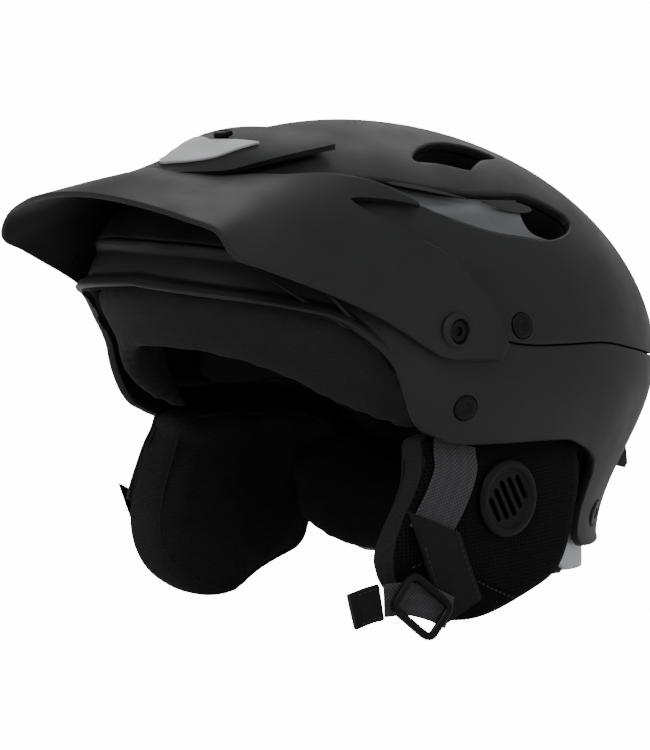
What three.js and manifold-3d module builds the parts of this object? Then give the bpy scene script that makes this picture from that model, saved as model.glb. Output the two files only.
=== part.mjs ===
// Whitewater helmet with a visor, ear pads and a fit dial, for a 56 to 59 cm head.
// Millimetres, +Z up, the face looks along -Y and the wearer's left hand is at +X.
// The origin is the middle of the head cavity, at the height where the shell is widest.
import * as THREE from 'three';
import { mergeVertices } from 'three/addons/utils/BufferGeometryUtils.js';
import Module from 'manifold-3d';

const wasm = await Module();
wasm.setup();

// ---- Driving dimensions -----------------------------------------------------------------

const HALF_WIDTH = 112; // of the shell's outer face
const HALF_LENGTH = 142.5;
const CROWN = 105; // height of the crown over the widest level
const LEAN = 0.165; // how far each level moves forward for each mm of height
const FULLNESS = { front: 2.04, rear: 2.2 }; // exponents of the plan's superellipse
const TUCK = 26; // how far the wall has drawn in at the bottom of the nape
const TUCK_START = 5; // depth under the widest level where the wall starts to draw in
const TUCK_DEPTH = 85;

const SHELL = 4; // wall of both shell mouldings
const GAP = 0.3; // between pieces that touch
const LINER = 13; // wall of the foam liner
const PAD = 9; // comfort pads inside the liner
const VISOR_WALL = 2.6;
const VISOR_RISE = 3; // from the shell to the visor's outer face
const PLUG_RADIUS = 5.8;
const SCREW_RADIUS = 5;

const PIVOT = new THREE.Vector3(0, -38, 16.3); // the visor turns on its side screws
const DIAL = new THREE.Vector3(0, 116, -99.5);

// ---- Colours ----------------------------------------------------------------------------

const finish = (color, roughness, metalness = 0) =>
  new THREE.MeshStandardMaterial({ color, roughness, metalness });
const SHELL_BLACK = finish(0x2c2c2d, 0.62);
const SCOOP_GREY = finish(0x47484a, 0.55);
const BADGE_GREY = finish(0x9a9b9d, 0.35);
const TRIM_BLACK = finish(0x121213, 0.45);
const FOAM = finish(0x0d0d0e, 0.95);
const KNIT = finish(0x262627, 0.95);
const FABRIC = finish(0x18181a, 0.92);
const WEBBING = finish(0x38383b, 0.8);
const SYNTHETIC_LEATHER = finish(0x101011, 0.5);
const CRADLE_GREY = finish(0x9b9da0, 0.5);

// ---- Small tools ------------------------------------------------------------------------

const RAD = Math.PI / 180;
const group = new THREE.Group();
const clamp = (v, low, high) => Math.min(high, Math.max(low, v));
const mix = THREE.MathUtils.lerp;
const mirrored = (points) => points.map((p) => new THREE.Vector3(-p.x, p.y, p.z));
const vec = (x, y, z) => new THREE.Vector3(x, y, z);

// A value read from rising [key, value] pairs, along straight lines between them.
function along(pairs, key) {
  if (key <= pairs[0][0]) return pairs[0][1];
  for (let i = 1; i < pairs.length; i += 1) {
    const [k0, v0] = pairs[i - 1];
    const [k1, v1] = pairs[i];
    if (key <= k1) return mix(v0, v1, (key - k0) / (k1 - k0));
  }
  return pairs[pairs.length - 1][1];
}

// A closed plate. face(column, row, side) gives the points of its outer face (side 0) and its
// inner face (side 1). A ring closes on itself after the last column.
function plate(columns, rows, face, ring = false) {
  const stations = ring ? columns : columns + 1;
  const position = [];
  for (const side of [0, 1]) {
    for (let c = 0; c < stations; c += 1) {
      for (let r = 0; r <= rows; r += 1) position.push(...face(c, r, side).toArray());
    }
  }
  const at = (c, r, side) => (side * stations + (c % stations)) * (rows + 1) + r;
  const index = [];
  const quad = (a, b, c, d) => index.push(a, b, c, a, c, d);
  for (let c = 0; c < columns; c += 1) {
    for (let r = 0; r < rows; r += 1) {
      quad(at(c, r, 0), at(c + 1, r, 0), at(c + 1, r + 1, 0), at(c, r + 1, 0));
      quad(at(c, r, 1), at(c, r + 1, 1), at(c + 1, r + 1, 1), at(c + 1, r, 1));
    }
    quad(at(c, 0, 0), at(c, 0, 1), at(c + 1, 0, 1), at(c + 1, 0, 0));
    quad(at(c, rows, 0), at(c + 1, rows, 0), at(c + 1, rows, 1), at(c, rows, 1));
  }
  for (let r = 0; r < rows && !ring; r += 1) {
    quad(at(0, r, 0), at(0, r + 1, 0), at(0, r + 1, 1), at(0, r, 1));
    quad(at(columns, r, 0), at(columns, r, 1), at(columns, r + 1, 1), at(columns, r + 1, 0));
  }
  return closed(position, index);
}

// Merges equal points, drops flat triangles and turns the faces outwards.
function closed(position, index) {
  const raw = new THREE.BufferGeometry();
  raw.setAttribute('position', new THREE.Float32BufferAttribute(position, 3));
  raw.setIndex(index);
  const merged = mergeVertices(raw, 1e-3);
  const ids = Array.from(merged.index.array);
  const kept = [];
  for (let i = 0; i < ids.length; i += 3) {
    const [a, b, c] = ids.slice(i, i + 3);
    if (a !== b && b !== c && a !== c) kept.push(a, b, c);
  }
  merged.setIndex(kept);
  return volume(merged) < 0 ? flipped(merged) : merged;
}

function volume(geometry) {
  const p = geometry.attributes.position;
  const ids = geometry.index.array;
  const corner = (i) => new THREE.Vector3().fromBufferAttribute(p, ids[i]);
  let sum = 0;
  for (let i = 0; i < ids.length; i += 3) {
    sum += corner(i).dot(corner(i + 1).cross(corner(i + 2)));
  }
  return sum;
}

function flipped(geometry) {
  const ids = Array.from(geometry.index.array);
  for (let i = 0; i < ids.length; i += 3) [ids[i], ids[i + 1]] = [ids[i + 1], ids[i]];
  geometry.setIndex(ids);
  return geometry;
}

// Position-only, merged copy of a geometry, ready to be joined or cut.
function bare(geometry) {
  const copy = geometry.clone();
  copy.deleteAttribute('normal');
  copy.deleteAttribute('uv');
  const merged = mergeVertices(copy, 1e-3);
  return closed(Array.from(merged.attributes.position.array), Array.from(merged.index.array));
}

function solid(geometry) {
  const shape = bare(geometry);
  return new wasm.Manifold(new wasm.Mesh({
    numProp: 3,
    vertProperties: Float32Array.from(shape.attributes.position.array),
    triVerts: Uint32Array.from(shape.index.array),
  }));
}

function geometryOf(manifold) {
  const mesh = manifold.getMesh();
  const geometry = new THREE.BufferGeometry();
  geometry.setAttribute('position', new THREE.Float32BufferAttribute(mesh.vertProperties, 3));
  geometry.setIndex(Array.from(mesh.triVerts));
  return geometry;
}

const cut = (geometry, ...tools) => geometryOf(
  tools.reduce((body, tool) => body.subtract(solid(tool)), solid(geometry)),
);
const join = (geometry, ...others) => geometryOf(
  others.reduce((body, other) => body.add(solid(other)), solid(geometry)),
);

function mirrorX(geometry) {
  const copy = bare(geometry);
  copy.scale(-1, 1, 1);
  return flipped(copy);
}

function add(name, geometry, material) {
  const mesh = new THREE.Mesh(geometry, material);
  mesh.name = name;
  group.add(mesh);
}

// The same piece on the wearer's left and, mirrored, on the right.
function addPair(name, geometry, material) {
  add(`${name}_left`, geometry, material);
  add(`${name}_right`, mirrorX(geometry), material);
}

// A frame whose third axis is the outward normal at a place.
function frameAt(place, normal) {
  const n = normal.clone().normalize();
  const e1 = vec(0, 0, 1).cross(n).normalize();
  const e2 = n.clone().cross(e1);
  return new THREE.Matrix4().makeBasis(e1, e2, n).setPosition(place);
}

// Moves each corner of a flat outline so that its sides step out by grow, or in if it is less
// than 0.
function grown(points, grow) {
  const turn = Math.sign(THREE.ShapeUtils.area(points));
  return points.map((p, i) => {
    const before = p.clone().sub(points[(i + points.length - 1) % points.length]).normalize();
    const after = points[(i + 1) % points.length].clone().sub(p).normalize();
    const sum = vec(before.y + after.y, -before.x - after.x, 0);
    const step = (turn * grow) / (1 + before.dot(after));
    return new THREE.Vector2(p.x + sum.x * step, p.y + sum.y * step);
  });
}

// A prism over an outline given by points in space: it runs along normal, from inward mm
// under the middle of the points to outward mm over it.
function prism(points, normal, inward, outward, grow = 0) {
  const middle = points.reduce((sum, p) => sum.add(p), vec(0, 0, 0)).divideScalar(points.length);
  const place = frameAt(middle, normal);
  const back = place.clone().invert();
  const flat = points.map((p) => p.clone().applyMatrix4(back)).map((p) => new THREE.Vector2(p.x,
    p.y));
  const shape = new THREE.Shape(grown(flat, grow));
  const body = new THREE.ExtrudeGeometry(shape, { depth: inward + outward, bevelEnabled: false });
  body.translate(0, 0, -inward);
  return body.applyMatrix4(place);
}

// A turned piece: profile points are [radius, height] pairs, height along the normal.
function turned(profile, place, normal, sides = 16) {
  const points = profile.map(([r, h]) => new THREE.Vector2(r, h));
  const body = new THREE.LatheGeometry(points, sides);
  body.rotateX(Math.PI / 2);
  return bare(body).applyMatrix4(frameAt(place, normal));
}

// ---- The head form ----------------------------------------------------------------------

// How far the wall has drawn in at height z under the widest level: half a cosine wave.
const tuck = (z) => (TUCK * (1 - Math.cos(Math.PI * clamp((-z - TUCK_START) / TUCK_DEPTH, 0,
  1)))) / 2;

// A point of the shell's outer face moved out by d. The heading is in degrees from the front
// towards the wearer's left. The tilt is in degrees over the widest level, and under it one
// degree is CROWN * RAD millimetres of depth.
function skin(heading, tilt, d = 0) {
  const s = Math.sin(heading * RAD);
  const c = Math.cos(heading * RAD);
  const full = c > 0 ? FULLNESS.front : FULLNESS.rear;
  const reach = (Math.abs(s) ** full + Math.abs(c) ** full) ** (-1 / full);
  const over = Math.max(tilt, 0) * RAD;
  const z = tilt > 0 ? (CROWN + d) * Math.sin(over) : CROWN * RAD * tilt;
  const inset = tilt > 0 ? 0 : tuck(z);
  return vec(
    (HALF_WIDTH + d - inset) * reach * s * Math.cos(over),
    -(HALF_LENGTH + d - inset) * reach * c * Math.cos(over) - LEAN * Math.max(z, 0),
    z,
  );
}

// The outward normal there, from two small steps along the face.
function outward(heading, tilt) {
  const p = skin(heading, tilt);
  const across = skin(heading + 1, tilt).sub(p);
  const up = skin(heading, tilt + 1).sub(p);
  return across.cross(up).normalize();
}

// Tilt of a height on the head form.
const tiltOf = (z) => (z > 0 ? Math.asin(clamp(z / CROWN, 0, 1)) / RAD : z / (CROWN * RAD));

// The lower rim of the shell: brow, temple, ear cut-out, leg in front of the nape, nape.
const RIM = [
  [0, 36], [20, 33], [42, 27.5], [53, 20.5], [58, 11], [61.5, 0], [63.7, -15], [65.5, -25], [70,
  -32],
  [77, -36.5], [104, -37.5], [110, -41], [115, -45.5], [119, -52], [121, -62], [122, -80],
  [124.5, -88],
  [128, -90], [180, -86],
];
// The seam between the upper and the lower shell.
const SEAM = [
  [0, 56], [20, 55], [45, 49], [60, 38], [70, 26], [80, 15], [88, 9.5], [96, 7.5], [112, 6],
  [124, 1],
  [136, -3.5], [180, -8],
];
const rimTilt = (heading) => tiltOf(along(RIM, Math.abs(heading)));
const seamTilt = (heading) => tiltOf(along(SEAM, Math.abs(heading)));

// Headings of the shell's columns: close together where the rim turns.
const HALF_HEADINGS = [
  0, 10, 20, 31, 42, 48, 53, 56, 58.5, 61.5, 63.7, 65.5, 70, 77, 86, 95, 104, 110, 115, 119, 121,
  122, 124.5, 128,
  138, 148, 158, 169, 180,
];
const HEADINGS = [...HALF_HEADINGS, ...HALF_HEADINGS.slice(1, -1).reverse().map((h) => -h)];

// ---- Shells -----------------------------------------------------------------------------

const ROLL = 1.2; // the rim's lip stands proud of the wall by this

const lowerShell = plate(HEADINGS.length, 4, (c, r, side) => {
  const heading = HEADINGS[c];
  const tilt = mix(rimTilt(heading), seamTilt(heading) - 0.2, [0, 0.15, 0.45, 0.75, 1][r]);
  const lip = r === 0 && Math.abs(heading) < 62 ? ROLL : 0;
  return skin(heading, tilt, side ? -SHELL : lip);
}, true);

const UPPER_ROWS = [0, 0.14, 0.28, 0.42, 0.56, 0.7, 0.86, 1];
const LOWER_ONLY = [48, 56, 61.5, 65.5, 115, 121, 122, 124.5];
const UPPER_HEADINGS = HEADINGS.filter((h) => !LOWER_ONLY.includes(Math.abs(h)));
const upperBlank = plate(UPPER_HEADINGS.length, UPPER_ROWS.length - 1, (c, r, side) => {
  const heading = UPPER_HEADINGS[c];
  return skin(heading, mix(seamTilt(heading) + 0.2, 90, UPPER_ROWS[r]), side ? -SHELL : 0);
}, true);

// The side scoop: a leaf-shaped recess that ends in an air hole.
const scoopOutline = [
  vec(59, -64, 85), vec(65, -48, 83), vec(72, -32, 79), vec(77, -15, 76), vec(78, 5, 73), vec(76,
  28, 72),
  vec(77, 44, 67), vec(79, 54, 60), vec(86, 47, 55), vec(92, 32, 53), vec(94, 18, 55), vec(93,
  -4, 59),
  vec(88, -22, 65), vec(79, -38, 73), vec(68, -52, 81),
];
const SCOOP_NORMAL = vec(0.72, -0.05, 0.69);
const holeOutline = [
  vec(76, 28, 72), vec(77, 44, 67), vec(79, 54, 60), vec(86, 47, 55), vec(92, 32, 53),
  vec(91, 20, 57), vec(84, 20, 66),
];

// The pair of vents beside the crown.
const ventOutline = [
  vec(58, -20, 90), vec(51, -12, 94), vec(45, 3, 96), vec(43, 18, 95), vec(44, 29, 92), vec(49,
  37, 88),
  vec(56, 22, 88),
  vec(62, 12, 86), vec(65, 6, 85), vec(61, -8, 88),
];
const VENT_NORMAL = vec(0.55, 0.05, 0.83);

// ---- Visor ------------------------------------------------------------------------------

// Matching places on the visor's rear edge and its front and lower edge, from the centre
// line out to the wing's rear corner.
const VISOR_EDGES = [
  [vec(0, -117, 88.5), vec(0, -168, 79)],
  [vec(12, -110, 86.5), vec(20, -167, 78)],
  [vec(21, -102.5, 85), vec(40, -163.5, 75)],
  [vec(33, -94, 86), vec(57, -157.5, 70.5)],
  [vec(44, -87, 86), vec(70, -151.5, 65.5)],
  [vec(56, -72, 86.5), vec(80, -148, 54)],
  [vec(68.5, -55.5, 83), vec(85, -132, 47.5)],
  [vec(81, -42.5, 75), vec(91, -112, 39.5)],
  [vec(85, -41.5, 71.5), vec(94, -100, 34.5)],
  [vec(89, -47, 64), vec(97, -89, 29.5)],
  [vec(93, -48, 58), vec(100, -79, 24)],
  [vec(99, -40, 52), vec(103.5, -68, 17)],
  [vec(105, -31, 42), vec(107, -58, 10)],
  [vec(110, -23, 31), vec(110, -49, 4.8)],
  [vec(113, -17.5, 20), vec(112.5, -36, 3)],
  [vec(114.5, -14.3, 9), vec(114.5, -19, 2)],
];

// Moves a point level outwards until it stands at least d clear of the head form. The
// softness rounds the place where the visor leaves the shell.
const SOFTNESS = 0.012;
function clearOfShell(p, d) {
  const level = clamp(p.z / (CROWN + d), 0, 0.97);
  const shrink = Math.sqrt(1 - level * level);
  const y = p.y + LEAN * Math.max(p.z, 0);
  const full = y < 0 ? FULLNESS.front : FULLNESS.rear;
  const size = ((Math.abs(p.x) / ((HALF_WIDTH + d) * shrink)) ** full
    + (Math.abs(y) / ((HALF_LENGTH + d) * shrink)) ** full) ** (-1 / full);
  const factor = 1 + SOFTNESS * Math.log(1 + Math.exp(Math.min((size - 1) / SOFTNESS, 40)));
  return vec(p.x * factor, y * factor - LEAN * Math.max(p.z, 0), p.z);
}

const VISOR_ROWS = 6;
const visorHalf = VISOR_EDGES.length - 1;
function visorFace(station, row) {
  const [rear, front] = VISOR_EDGES[Math.abs(station)];
  const p = rear.clone().lerp(front, row / VISOR_ROWS);
  const q = clearOfShell(p, VISOR_RISE);
  return station < 0 ? vec(-q.x, q.y, q.z) : q;
}
function visorNormal(station, row) {
  const low = Math.max(station - 1, -visorHalf);
  const high = Math.min(station + 1, visorHalf);
  const across = visorFace(high, row).sub(visorFace(low, row));
  const down = visorFace(station, Math.min(row + 1, VISOR_ROWS))
    .sub(visorFace(station, Math.max(row - 1, 0)));
  return down.cross(across).normalize();
}
const visorPanel = plate(2 * visorHalf, VISOR_ROWS, (c, r, side) => {
  const station = c - visorHalf;
  const inner = visorNormal(station, r).multiplyScalar(-VISOR_WALL * side);
  return visorFace(station, r).add(inner);
});

// The raised tongue in the middle of the visor: it leaves the panel in front and ends over
// the crown, with a slit for air under each of its side edges.
const TONGUE = [ // [y, half-width, height on the centre line, height of the side edge]
  [-128, 7, 86.9, 86.4],
  [-118, 13, 90.4, 88.2],
  [-104, 22, 94.2, 89.3],
  [-92, 31, 97.8, 92],
  [-75, 39, 101, 95],
  [-57, 45, 103.6, 98],
];
const tongue = plate(8, TONGUE.length - 1, (c, r, side) => {
  const [y, halfWidth, middle, edge] = TONGUE[r];
  const across = c / 4 - 1;
  return vec(halfWidth * across, y, mix(middle, edge, Math.abs(across) ** 2.2) - 2.8 * side);
});

// The bay under the side finger, open to the rear.
const fingerBay = [
  vec(71.5, -70, 75.5), vec(77.5, -56, 75), vec(84, -43, 72), vec(93, -32, 70), vec(99, -42, 59),
  vec(93, -51, 59.5),
  vec(86, -58, 65), vec(79, -67, 70), vec(73, -71, 73.5),
];
const BAY_NORMAL = vec(0.66, -0.33, 0.67);

const screwPlace = (side) => {
  const p = clearOfShell(vec(100, PIVOT.y, PIVOT.z), VISOR_RISE);
  return vec(side * p.x, p.y, p.z);
};
const BOSS = [[0, -1], [8.5, -1], [8.5, 0.6], [6.9, 2], [0, 2]];
const bosses = [1, -1].map((s) => turned(BOSS, screwPlace(s), vec(s, 0, 0)));
const sockets = [1, -1].flatMap((s) => [
  turned([[0, -0.9], [5.6, -0.9], [5.6, 4], [0, 4]], screwPlace(s), vec(s, 0, 0)),
  turned([[0, -9], [2.9, -9], [2.9, 0], [0, 0]], screwPlace(s), vec(s, 0, 0), 12),
]);
const lockPlace = vec(0, -84, 99.6);
const lockHole = turned([[0, -9], [2.3, -9], [2.3, 5], [0, 5]], lockPlace, vec(0, -0.22, 1), 12);
const bays = [
  prism(fingerBay, BAY_NORMAL, 9, 12),
  prism(mirrored(fingerBay), vec(-BAY_NORMAL.x, BAY_NORMAL.y, BAY_NORMAL.z), 9, 12),
];
add('visor', cut(join(visorPanel, tongue, ...bosses), ...sockets, ...bays, lockHole), SHELL_BLACK);

// A plain shield-shaped badge laid over the tongue's front.
const BADGE = [ // [y, half-width]
  [-121.5, 1.5],
  [-117, 7],
  [-110, 11.5],
  [-103, 15],
  [-96, 18],
  [-89, 20.3],
  [-82, 22],
];
const BADGE_NOTCH = 10; // how far the rear edge is cut in at the middle
const tongueHeight = (x, y) => {
  const column = (i) => along(TONGUE.map((row) => [row[0], row[i]]), y);
  return mix(column(2), column(3), Math.min(Math.abs(x) / column(1), 1) ** 2.2);
};
add('visor_badge', plate(6, BADGE.length - 1, (c, r, side) => {
  const across = c / 3 - 1;
  const x = BADGE[r][1] * across;
  const y = BADGE[r][0] - (BADGE_NOTCH * (1 - Math.abs(across)) * r) / (BADGE.length - 1);
  return vec(x, y, tongueHeight(x, y) + (side ? 0.7 : 1.9));
}), BADGE_GREY);

// ---- Screws, plugs and hooks ------------------------------------------------------------

addPair('visor_screw', turned(
  [[0, -7.5], [2.5, -7.5], [2.5, -0.6], [SCREW_RADIUS, -0.6], [SCREW_RADIUS, 1], [2.6, 1], [2.6,
  -0.2], [0, -0.2]],
  screwPlace(1), vec(1, 0, 0),
), TRIM_BLACK);
add('visor_lock_screw', turned(
  [[0, -2.6], [2, -2.6], [2, 0.8], [4.5, 0.8], [4.5, 3.4], [0, 3.4]], lockPlace, vec(0, -0.22,
  1), 16,
), TRIM_BLACK);

const PLUGS = { // [heading, tilt] of each plug on the wearer's left
  side_plug: [90, tiltOf(16.8)],
  temple_plug: [76, tiltOf(-19)],
  leg_plug: [132, tiltOf(-75.5)],
  rear_plug: [145, tiltOf(3)],
};
const PLUG_SHAFT = 2.5;
const PLUG_PROFILE = [[0, -4.8], [PLUG_SHAFT, -4.8], [PLUG_SHAFT, -1.2], [PLUG_RADIUS, -1.2],
  [PLUG_RADIUS, 0.5],
  [4.6, 0.9], [0, 0.9]];
const SEAT_PROFILE = [[0, -9], [2.8, -9], [2.8, -1.5], [6.1, -1.5], [6.1, 3], [0, 3]];
const seats = [];
for (const [name, [heading, tilt]] of Object.entries(PLUGS)) {
  const place = skin(heading, tilt);
  const normal = outward(heading, tilt);
  addPair(name, turned(PLUG_PROFILE, place, normal, 16), TRIM_BLACK);
  const seat = turned(SEAT_PROFILE, place, normal, 16);
  seats.push({ name, tools: [seat, mirrorX(seat)] });
}
const seatTools = (...names) => seats.filter((s) => names.includes(s.name)).flatMap((s) => s.tools);
const screwHoles = [1, -1].map((s) => turned(
  [[0, -12], [2.9, -12], [2.9, 2], [0, 2]], screwPlace(s), vec(s, 0, 0), 12,
));

const vents = [];
for (const side of [1, -1]) {
  const place = (points) => (side > 0 ? points : mirrored(points));
  const aim = (n) => vec(n.x * side, n.y, n.z);
  vents.push({
    scoop: prism(place(scoopOutline), aim(SCOOP_NORMAL), 14, 30),
    hole: prism(place(holeOutline), aim(SCOOP_NORMAL), 26, 30),
    vent: prism(place(ventOutline), aim(VENT_NORMAL), 26, 30),
  });
}
add('shell_upper', cut(
  upperBlank, ...vents.flatMap((v) => [v.scoop, v.vent]), ...seatTools('side_plug', 'rear_plug'),
    ...screwHoles,
), SHELL_BLACK);
add('shell_lower', cut(
  lowerShell, ...seatTools('temple_plug', 'leg_plug'), ...screwHoles,
), SHELL_BLACK);

// Small pointed hooks low on the nape, for a goggle strap.
const hookPlace = skin(151, tiltOf(-51));
const hookShape = new THREE.Shape([[-4, -6], [4, -6], [4, 5], [-4,
  5]].map((p) => new THREE.Vector2(...p)));
const hookBlank = new THREE.ExtrudeGeometry(hookShape, { depth: 5, bevelEnabled: false });
const hookTaper = bare(hookBlank);
for (let i = 0; i < hookTaper.attributes.position.count; i += 1) {
  const p = hookTaper.attributes.position;
  if (p.getZ(i) > 1) p.setXYZ(i, p.getX(i) * 0.45, -5 + (p.getY(i) + 6) * 0.25, p.getZ(i));
}
hookTaper.translate(0, 0, 0.5);
addPair('strap_hook', hookTaper.applyMatrix4(frameAt(hookPlace, outward(151, tiltOf(-51)))),
  SHELL_BLACK);

// ---- Scoop inserts ----------------------------------------------------------------------

const floorLayer = plate(12, 6, (c, r, side) => skin(38 + 9 * c, 26 + 6.5 * r, side ? -3.7 : -1.3));
const floorPrism = prism(scoopOutline, SCOOP_NORMAL, 14, 30, -2 * GAP);
addPair('scoop_insert', geometryOf(
  solid(floorLayer).intersect(solid(floorPrism)).subtract(solid(vents[0].hole)),
), SCOOP_GREY);

// ---- Liner and comfort pads -------------------------------------------------------------

const LINER_FACE = -(SHELL + 1.4);
const LINER_RIM = [
  [0, 45], [20, 42], [42, 36], [53, 30], [58, 20], [61.5, 9], [64, -3], [67, -15], [72, -23],
  [104, -25], [112, -29],
  [119, -37], [124, -46], [130, -53], [180, -56],
];
const LINER_HEADINGS = HEADINGS.filter((h) => ![56, 65.5, 121, 122].includes(Math.abs(h)));
const LINER_ROWS = [0, 0.1, 0.2, 0.31, 0.43, 0.56, 0.7, 0.84, 1];
const liner = plate(LINER_HEADINGS.length, LINER_ROWS.length - 1, (c, r, side) => {
  const heading = LINER_HEADINGS[c];
  const low = tiltOf(along(LINER_RIM, Math.abs(heading)));
  return skin(heading, mix(low, 90, LINER_ROWS[r]), side ? LINER_FACE - LINER : LINER_FACE);
}, true);
add('foam_liner', cut(liner, ...vents.flatMap((v) => [v.hole, v.vent])), FOAM);

// A pad on the liner between two headings and between a lower and an upper edge.
const PAD_FACE = LINER_FACE - LINER - 2.2;
function pad(from, to, columns, low, high, thick = PAD, face = PAD_FACE) {
  return plate(columns, 4, (c, r, side) => {
    const heading = mix(from, to, c / columns);
    const away = Math.abs(heading > 180 ? 360 - heading : heading);
    const tilt = mix(tiltOf(along(low, away)), tiltOf(along(high, away)), r / 4);
    const rim = r === 0 || r === 4 || c === 0 || c === columns;
    return skin(heading, tilt, face - side * (rim ? thick * 0.6 : thick));
  });
}
const BROW_LOW = [[0, 10], [20, 6], [40, -6], [50, -16], [56, -20.5], [64, -26], [72, -28.5]];
const BROW_HIGH = [[0, 31], [30, 28], [48, 20], [56, 12], [62, 1], [68, -14], [72, -23]];
add('brow_pad', pad(-72, 72, 22, BROW_LOW, BROW_HIGH, 11), KNIT);
addPair('side_pad', pad(80, 120, 6, [[80, -22], [120, -22]], [[80, 26], [120, 26]]), KNIT);
add('rear_pad', pad(132, 228, 12, [[132, -40], [180, -48]], [[132, 24], [180, 24]]), KNIT);
add('crown_pad', plate(16, 2, (c, r, side) => skin(
  22.5 * c, [69, 80, 90][r], PAD_FACE - 0.6 - side * (r ? PAD : PAD * 0.6),
), true), KNIT);

// ---- Rear cradle and fit dial -----------------------------------------------------------

const CRADLE_LOW = [[114, -100], [130, -101], [150, -102], [180, -108]];
const CRADLE_HIGH = [[114, -68], [120, -60], [140, -62], [180, -66]];
const dialHole = turned([[0, -16], [3.4, -16], [3.4, 4], [0, 4]], DIAL, vec(0, 1, 0), 14);
const cradleBand = plate(18, 4, (c, r, side) => {
  const heading = 115 + (130 / 18) * c;
  const away = heading > 180 ? 360 - heading : heading;
  const tilt = tiltOf(mix(along(CRADLE_LOW, away), along(CRADLE_HIGH, away), r / 4));
  return skin(heading, tilt, side ? -8.4 : -6.2);
});
add('cradle_band', cut(cradleBand, dialHole), CRADLE_GREY);
const NAPE_LOW = [[104, -84], [112, -94], [125, -101], [150, -103], [180, -104]];
const NAPE_HIGH = [[104, -66], [112, -66], [125, -68], [180, -68]];
const napePad = plate(20, 4, (c, r, side) => {
  const heading = 104 + 7.6 * c;
  const away = heading > 180 ? 360 - heading : heading;
  const tilt = tiltOf(mix(along(NAPE_LOW, away), along(NAPE_HIGH, away), r / 4));
  const rim = r === 0 || r === 4 || c === 0 || c === 20;
  return skin(heading, tilt, side * (rim ? -8 : -13) - 9.4);
});
const stemRoom = turned([[0, -12], [4, -12], [4, 4], [0, 4]], DIAL, vec(0, 1, 0), 12);
add('nape_pad', cut(napePad, stemRoom), FABRIC);
const DIAL_RADIUS = 11;
const dialBlank = turned(
  [[0, -9], [3, -9], [3, -4.6], [8.5, -4.6], [DIAL_RADIUS, -3], [DIAL_RADIUS, 3.4], [9.4, 5], [0,
  5]],
  DIAL, vec(0, 1, 0), 20,
);
add('fit_dial', dialBlank, TRIM_BLACK);

// ---- Ear pads ---------------------------------------------------------------------------

const EAR_WALL = [[-12, 23], [16, 16]]; // [y, thickness]: thinner behind the ear
const EAR_SHEET = [[-122, 90], [-105, 95], [-85, 99], [-60, 101.5], [-46, 100.5], [-40, 97.8],
  [-30, 95.5]];
const EAR_BOW = 0.0022; // the face bows back from y = -4 by this times the square of the way
const EAR_TURN_IN = 0.031; // and turns in behind y = 40 by this times the square of the way
const earFace = (y, z, lift = 0) => {
  const bow = EAR_BOW * (y + 4) ** 2 + EAR_TURN_IN * Math.max(y - 40, 0) ** 2;
  return vec(along(EAR_SHEET, z) - bow + lift, y, z);
};
const earOutline = new THREE.CatmullRomCurve3([
  vec(0, -42, -31), vec(0, -47, -42), vec(0, -53, -58), vec(0, -60, -74), vec(0, -62, -88),
  vec(0, -56, -101),
  vec(0, -43, -110), vec(0, -26, -116), vec(0, -10, -116), vec(0, 6, -111), vec(0, 22, -105),
  vec(0, 38, -97),
  vec(0, 45, -84), vec(0, 48, -66), vec(0, 48.5, -48), vec(0, 42, -33), vec(0, 0, -30),
], true, 'catmullrom', 0.5);
const EAR_COLUMNS = 28;
const EAR_RINGS = [[1, 4.5], [0.94, 1.4], [0.8, 0.3], [0.45, 0], [0, 0]]; // [scale, drawn in by]
const EAR_MIDDLE = vec(0, -6, -72);
const earBlank = plate(EAR_COLUMNS, EAR_RINGS.length - 1, (c, r, side) => {
  const [scale, drawn] = EAR_RINGS[r];
  const p = earOutline.getPoint(c / EAR_COLUMNS).sub(EAR_MIDDLE).multiplyScalar(scale).add(EAR_MIDDLE);
  return earFace(p.y, p.z, side ? drawn - along(EAR_WALL, p.y) : -drawn);
}, true);

const GRILLE_RADIUS = 17.6;
const grillePlace = earFace(-3, -61.7);
const grilleNormal = vec(1, 0.02, -0.02);
const grillePocket = turned(
  [[0, -3.4], [GRILLE_RADIUS + 0.6, -3.4], [GRILLE_RADIUS + 0.6, 6], [0, 6]], grillePlace,
  grilleNormal, 20,
);
addPair('ear_pad', cut(earBlank, grillePocket), FABRIC);
const grilleDisc = turned(
  [[0, -2.8], [GRILLE_RADIUS, -2.8], [GRILLE_RADIUS, 0.4], [GRILLE_RADIUS - 1.4, 1.6],
  [GRILLE_RADIUS - 3.6, 1.6],
    [GRILLE_RADIUS - 4.6, 0.2], [0, 0.2]],
  grillePlace, grilleNormal, 20,
);
const slots = [-2, -1, 0, 1, 2].map((i) => {
  const slot = new THREE.BoxGeometry(2.6, 19 - 2.6 * Math.abs(i) ** 1.3, 20);
  slot.translate(i * 4.7, 0, 0);
  slot.rotateZ(30 * RAD);
  return slot.applyMatrix4(frameAt(grillePlace, grilleNormal));
});
addPair('ear_grille', cut(grilleDisc, ...slots), TRIM_BLACK);

// ---- Straps -----------------------------------------------------------------------------

// A strap laid on the ear pad's face along a path, with a width and a lift off the face.
function ribbon(path, width, lift, thick, steps) {
  const curve = new THREE.CatmullRomCurve3(path);
  return plate(steps, 3, (c, r, side) => {
    const p = curve.getPoint(c / steps);
    const way = curve.getTangent(c / steps);
    const a = width * (r / 3 - 0.5);
    return earFace(p.y - way.z * a, p.z + way.y * a, lift + (side ? 0 : thick));
  });
}
const STRAP_WIDTH = 22;
addPair('front_strap', ribbon(
  [vec(0, -31, -39), vec(0, -34, -48), vec(0, -40, -62), vec(0, -49, -76), vec(0, -55, -85)],
  STRAP_WIDTH, 1.1, 1.5, 10,
), WEBBING);
addPair('strap_keeper', ribbon(
  [vec(0, -51, -69), vec(0, -43, -81), vec(0, -35, -96), vec(0, -27, -111)], 23, 3.2, 1.4, 8,
), SYNTHETIC_LEATHER);

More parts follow.
